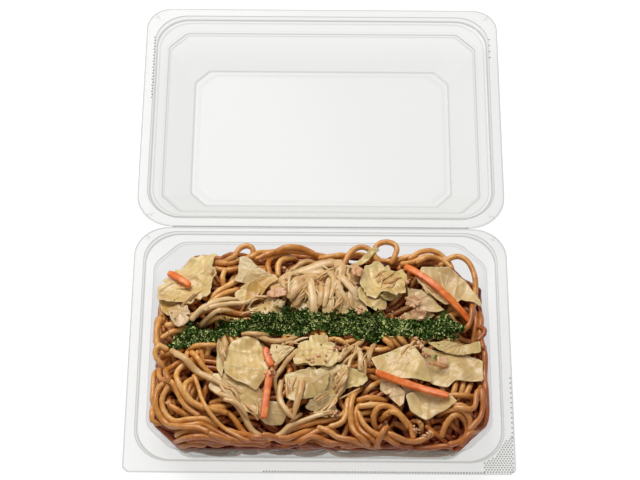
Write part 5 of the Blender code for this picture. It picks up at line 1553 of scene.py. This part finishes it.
# ---- Meat --------------------------------------------------------------------------------------------
# A few thin slices and many small crumbs of fried pork, pinkish tan with browned edges, scattered over
# the leaves and caught between the noodles.
# Each slice: name, lightness, outline, and the rest as for a leaf.
PORK = [
    ("slice_1", 0.15, [(-27.5, 27), (-22, 29), (-17.5, 27.5), (-18, 24), (-23, 23), (-28, 24)], (-20, 60), 0.5,
     0.3, 0, 0.4),
    ("slice_2", 0.5, [(45, 25), (50, 26), (53, 23), (50, 20), (45.5, 21.5)], (30, 20), 0.8, 0.5, 0, 0.4),
    ("slice_3", 0.5, [(47.5, 17.5), (52, 19), (56, 17.5), (54, 14), (49, 14)], (30, 20), 0.7, 0.6, 0, 0.6),
    ("slice_4", 0.35, [(16.5, 41), (19, 43.5), (22.5, 41.5), (21, 37), (17.5, 37)], (19, 70), 0.6, 0.3, 0,
     0.3),
    ("block", 0.7, [(61, -8.8), (66, -8.3), (66.4, -13), (61.4, -13.4)], (64, 30), 0.2, 0.05, 0, 1.0),
    ("rind", 0.05, [(56.5, -13.6), (61, -12.9), (66, -14), (66, -15.2), (60, -15), (56.5, -15)], (60, 30), 0.3,
     0.1, 0, 0.3),
]
# Places of the crumbs: x, y, how far they spread, and how many.
CRUMB_PLACES = [(51, 1, 2.2, 12), (52.5, -3, 2.0, 12), (55, -8, 2.0, 10), (50, -46, 3.0, 16), (55, -50.5, 2.4, 12),
                (9, -41, 2.6, 14), (20, 16.5, 2.6, 14), (-64, -43, 3.0, 3), (-78, -37, 2.0, 3), (40, 18, 6.0, 16),
                (-24, -21, 3.4, 12), (-19, 47, 2.4, 7), (47, 34, 2.2, 7), (1.5, 33, 2.4, 8), (14, -6, 5.0, 9),
                (-57, 41, 1.4, 4), (35, -44, 3.0, 5), (0, -12.5, 6.0, 6), (72, 4, 4.0, 6)]


def crumb_shapes(places, sizes):
    """Lumpy balls: rings of eight corners at five heights, each point pushed in or out at random."""
    count = len(places)
    lift = np.array([-0.75, -0.3, 0.2, 0.62])
    turns = np.linspace(0, 2 * math.pi, 8, endpoint=False)
    rings = np.stack((np.outer(np.sqrt(1 - lift ** 2), np.cos(turns)), np.outer(np.sqrt(1 - lift ** 2), np.sin(turns)),
                      np.repeat(lift[:, None], 8, axis=1)), -1).reshape(-1, 3)
    ball = np.concatenate((rings, [[0, 0, -1], [0, 0, 1]]))
    lumps = chance.uniform(0.72, 1.2, (count, len(ball), 1))
    stretch = np.stack((chance.uniform(0.7, 1.4, count), chance.uniform(0.7, 1.2, count), np.full(count, 0.75)), -1)
    spin = chance.uniform(0, 6.3, count)[:, None]
    shape = ball[None] * lumps * stretch[:, None] * sizes[:, None, None] / 2
    x, y = shape[..., 0] * np.cos(spin) - shape[..., 1] * np.sin(spin), \
        shape[..., 0] * np.sin(spin) + shape[..., 1] * np.cos(spin)
    points = (np.stack((x, y, shape[..., 2]), -1) + places[:, None]).reshape(-1, 3)
    around = np.arange(8)
    caps = np.concatenate((np.column_stack((np.roll(around, -1), around, np.full(8, 32))),
                           np.column_stack((24 + around, 24 + np.roll(around, -1), np.full(8, 33)))))
    shift = (np.arange(count) * len(ball))[:, None, None]
    return points, (ring_quads(4, 8)[None] + shift).reshape(-1, 4), (caps[None] + shift).reshape(-1, 3)


def pork_material():
    """Fried pork: pinkish tan, mottled, with browned places and a greasy gloss."""
    made, tree, shader = blank_material("fried_pork")
    place = node(tree, "ShaderNodeTexCoord").outputs["Object"]
    cloud = node(tree, "ShaderNodeTexNoise", {"Vector": place, "Scale": 380.0, "Detail": 4.0}).outputs["Fac"]
    fine = node(tree, "ShaderNodeTexNoise", {"Vector": place, "Scale": 1100.0, "Detail": 2.0}).outputs["Fac"]
    tone = node(tree, "ShaderNodeAttribute", attribute_name="tone").outputs["Fac"]
    mixed = math_node(tree, "MULTIPLY_ADD", tone, 0.5, math_node(tree, "MULTIPLY_ADD", cloud, 0.9, -0.2))
    colour = colour_steps(tree, mixed, [(0.1, (0.42, 0.165, 0.055)), (0.4, (0.66, 0.34, 0.155)),
                                        (0.65, (0.74, 0.45, 0.24)), (0.9, (0.84, 0.62, 0.38))])
    bump = node(tree, "ShaderNodeBump", {"Height": fine, "Strength": 0.4, "Distance": 0.0004})
    tree.links.new(colour, shader.inputs["Base Color"])
    tree.links.new(bump.outputs["Normal"], shader.inputs["Normal"])
    shader.inputs["Roughness"].default_value = 0.36
    shader.inputs["Subsurface Weight"].default_value = 0.12
    shader.inputs["Subsurface Radius"].default_value = (1.0, 0.5, 0.3)
    shader.inputs["Subsurface Scale"].default_value = 0.0015
    return made


fried_pork = pork_material()
for name, lightness, *shape in PORK:
    points, quads, fans, values = leaf_shape(*shape, ring_count=14, around_count=64)
    slice_piece = fill_mesh("pork_" + name, points, quads, fans)
    paint(slice_piece, tone=lightness + 0.3 * (values["fibre"] - 0.5))
    slice_piece.data.materials.append(fried_pork)
    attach(slice_piece, "tray")
flat = np.concatenate([chance.normal(0, spread / 2, (count, 2)) + (x, y) for x, y, spread, count in CRUMB_PLACES])
sizes = chance.uniform(0.8, 2.1, len(flat))
points, quads, fans = crumb_shapes(np.column_stack((flat, heap.at(flat) + 0.22 * sizes)), sizes)
crumbs = fill_mesh("pork_crumbs", points, quads, fans)
paint(crumbs, tone=np.repeat(chance.uniform(0.0, 0.75, len(flat)), 34))
crumbs.data.materials.append(fried_pork)
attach(crumbs, "tray")
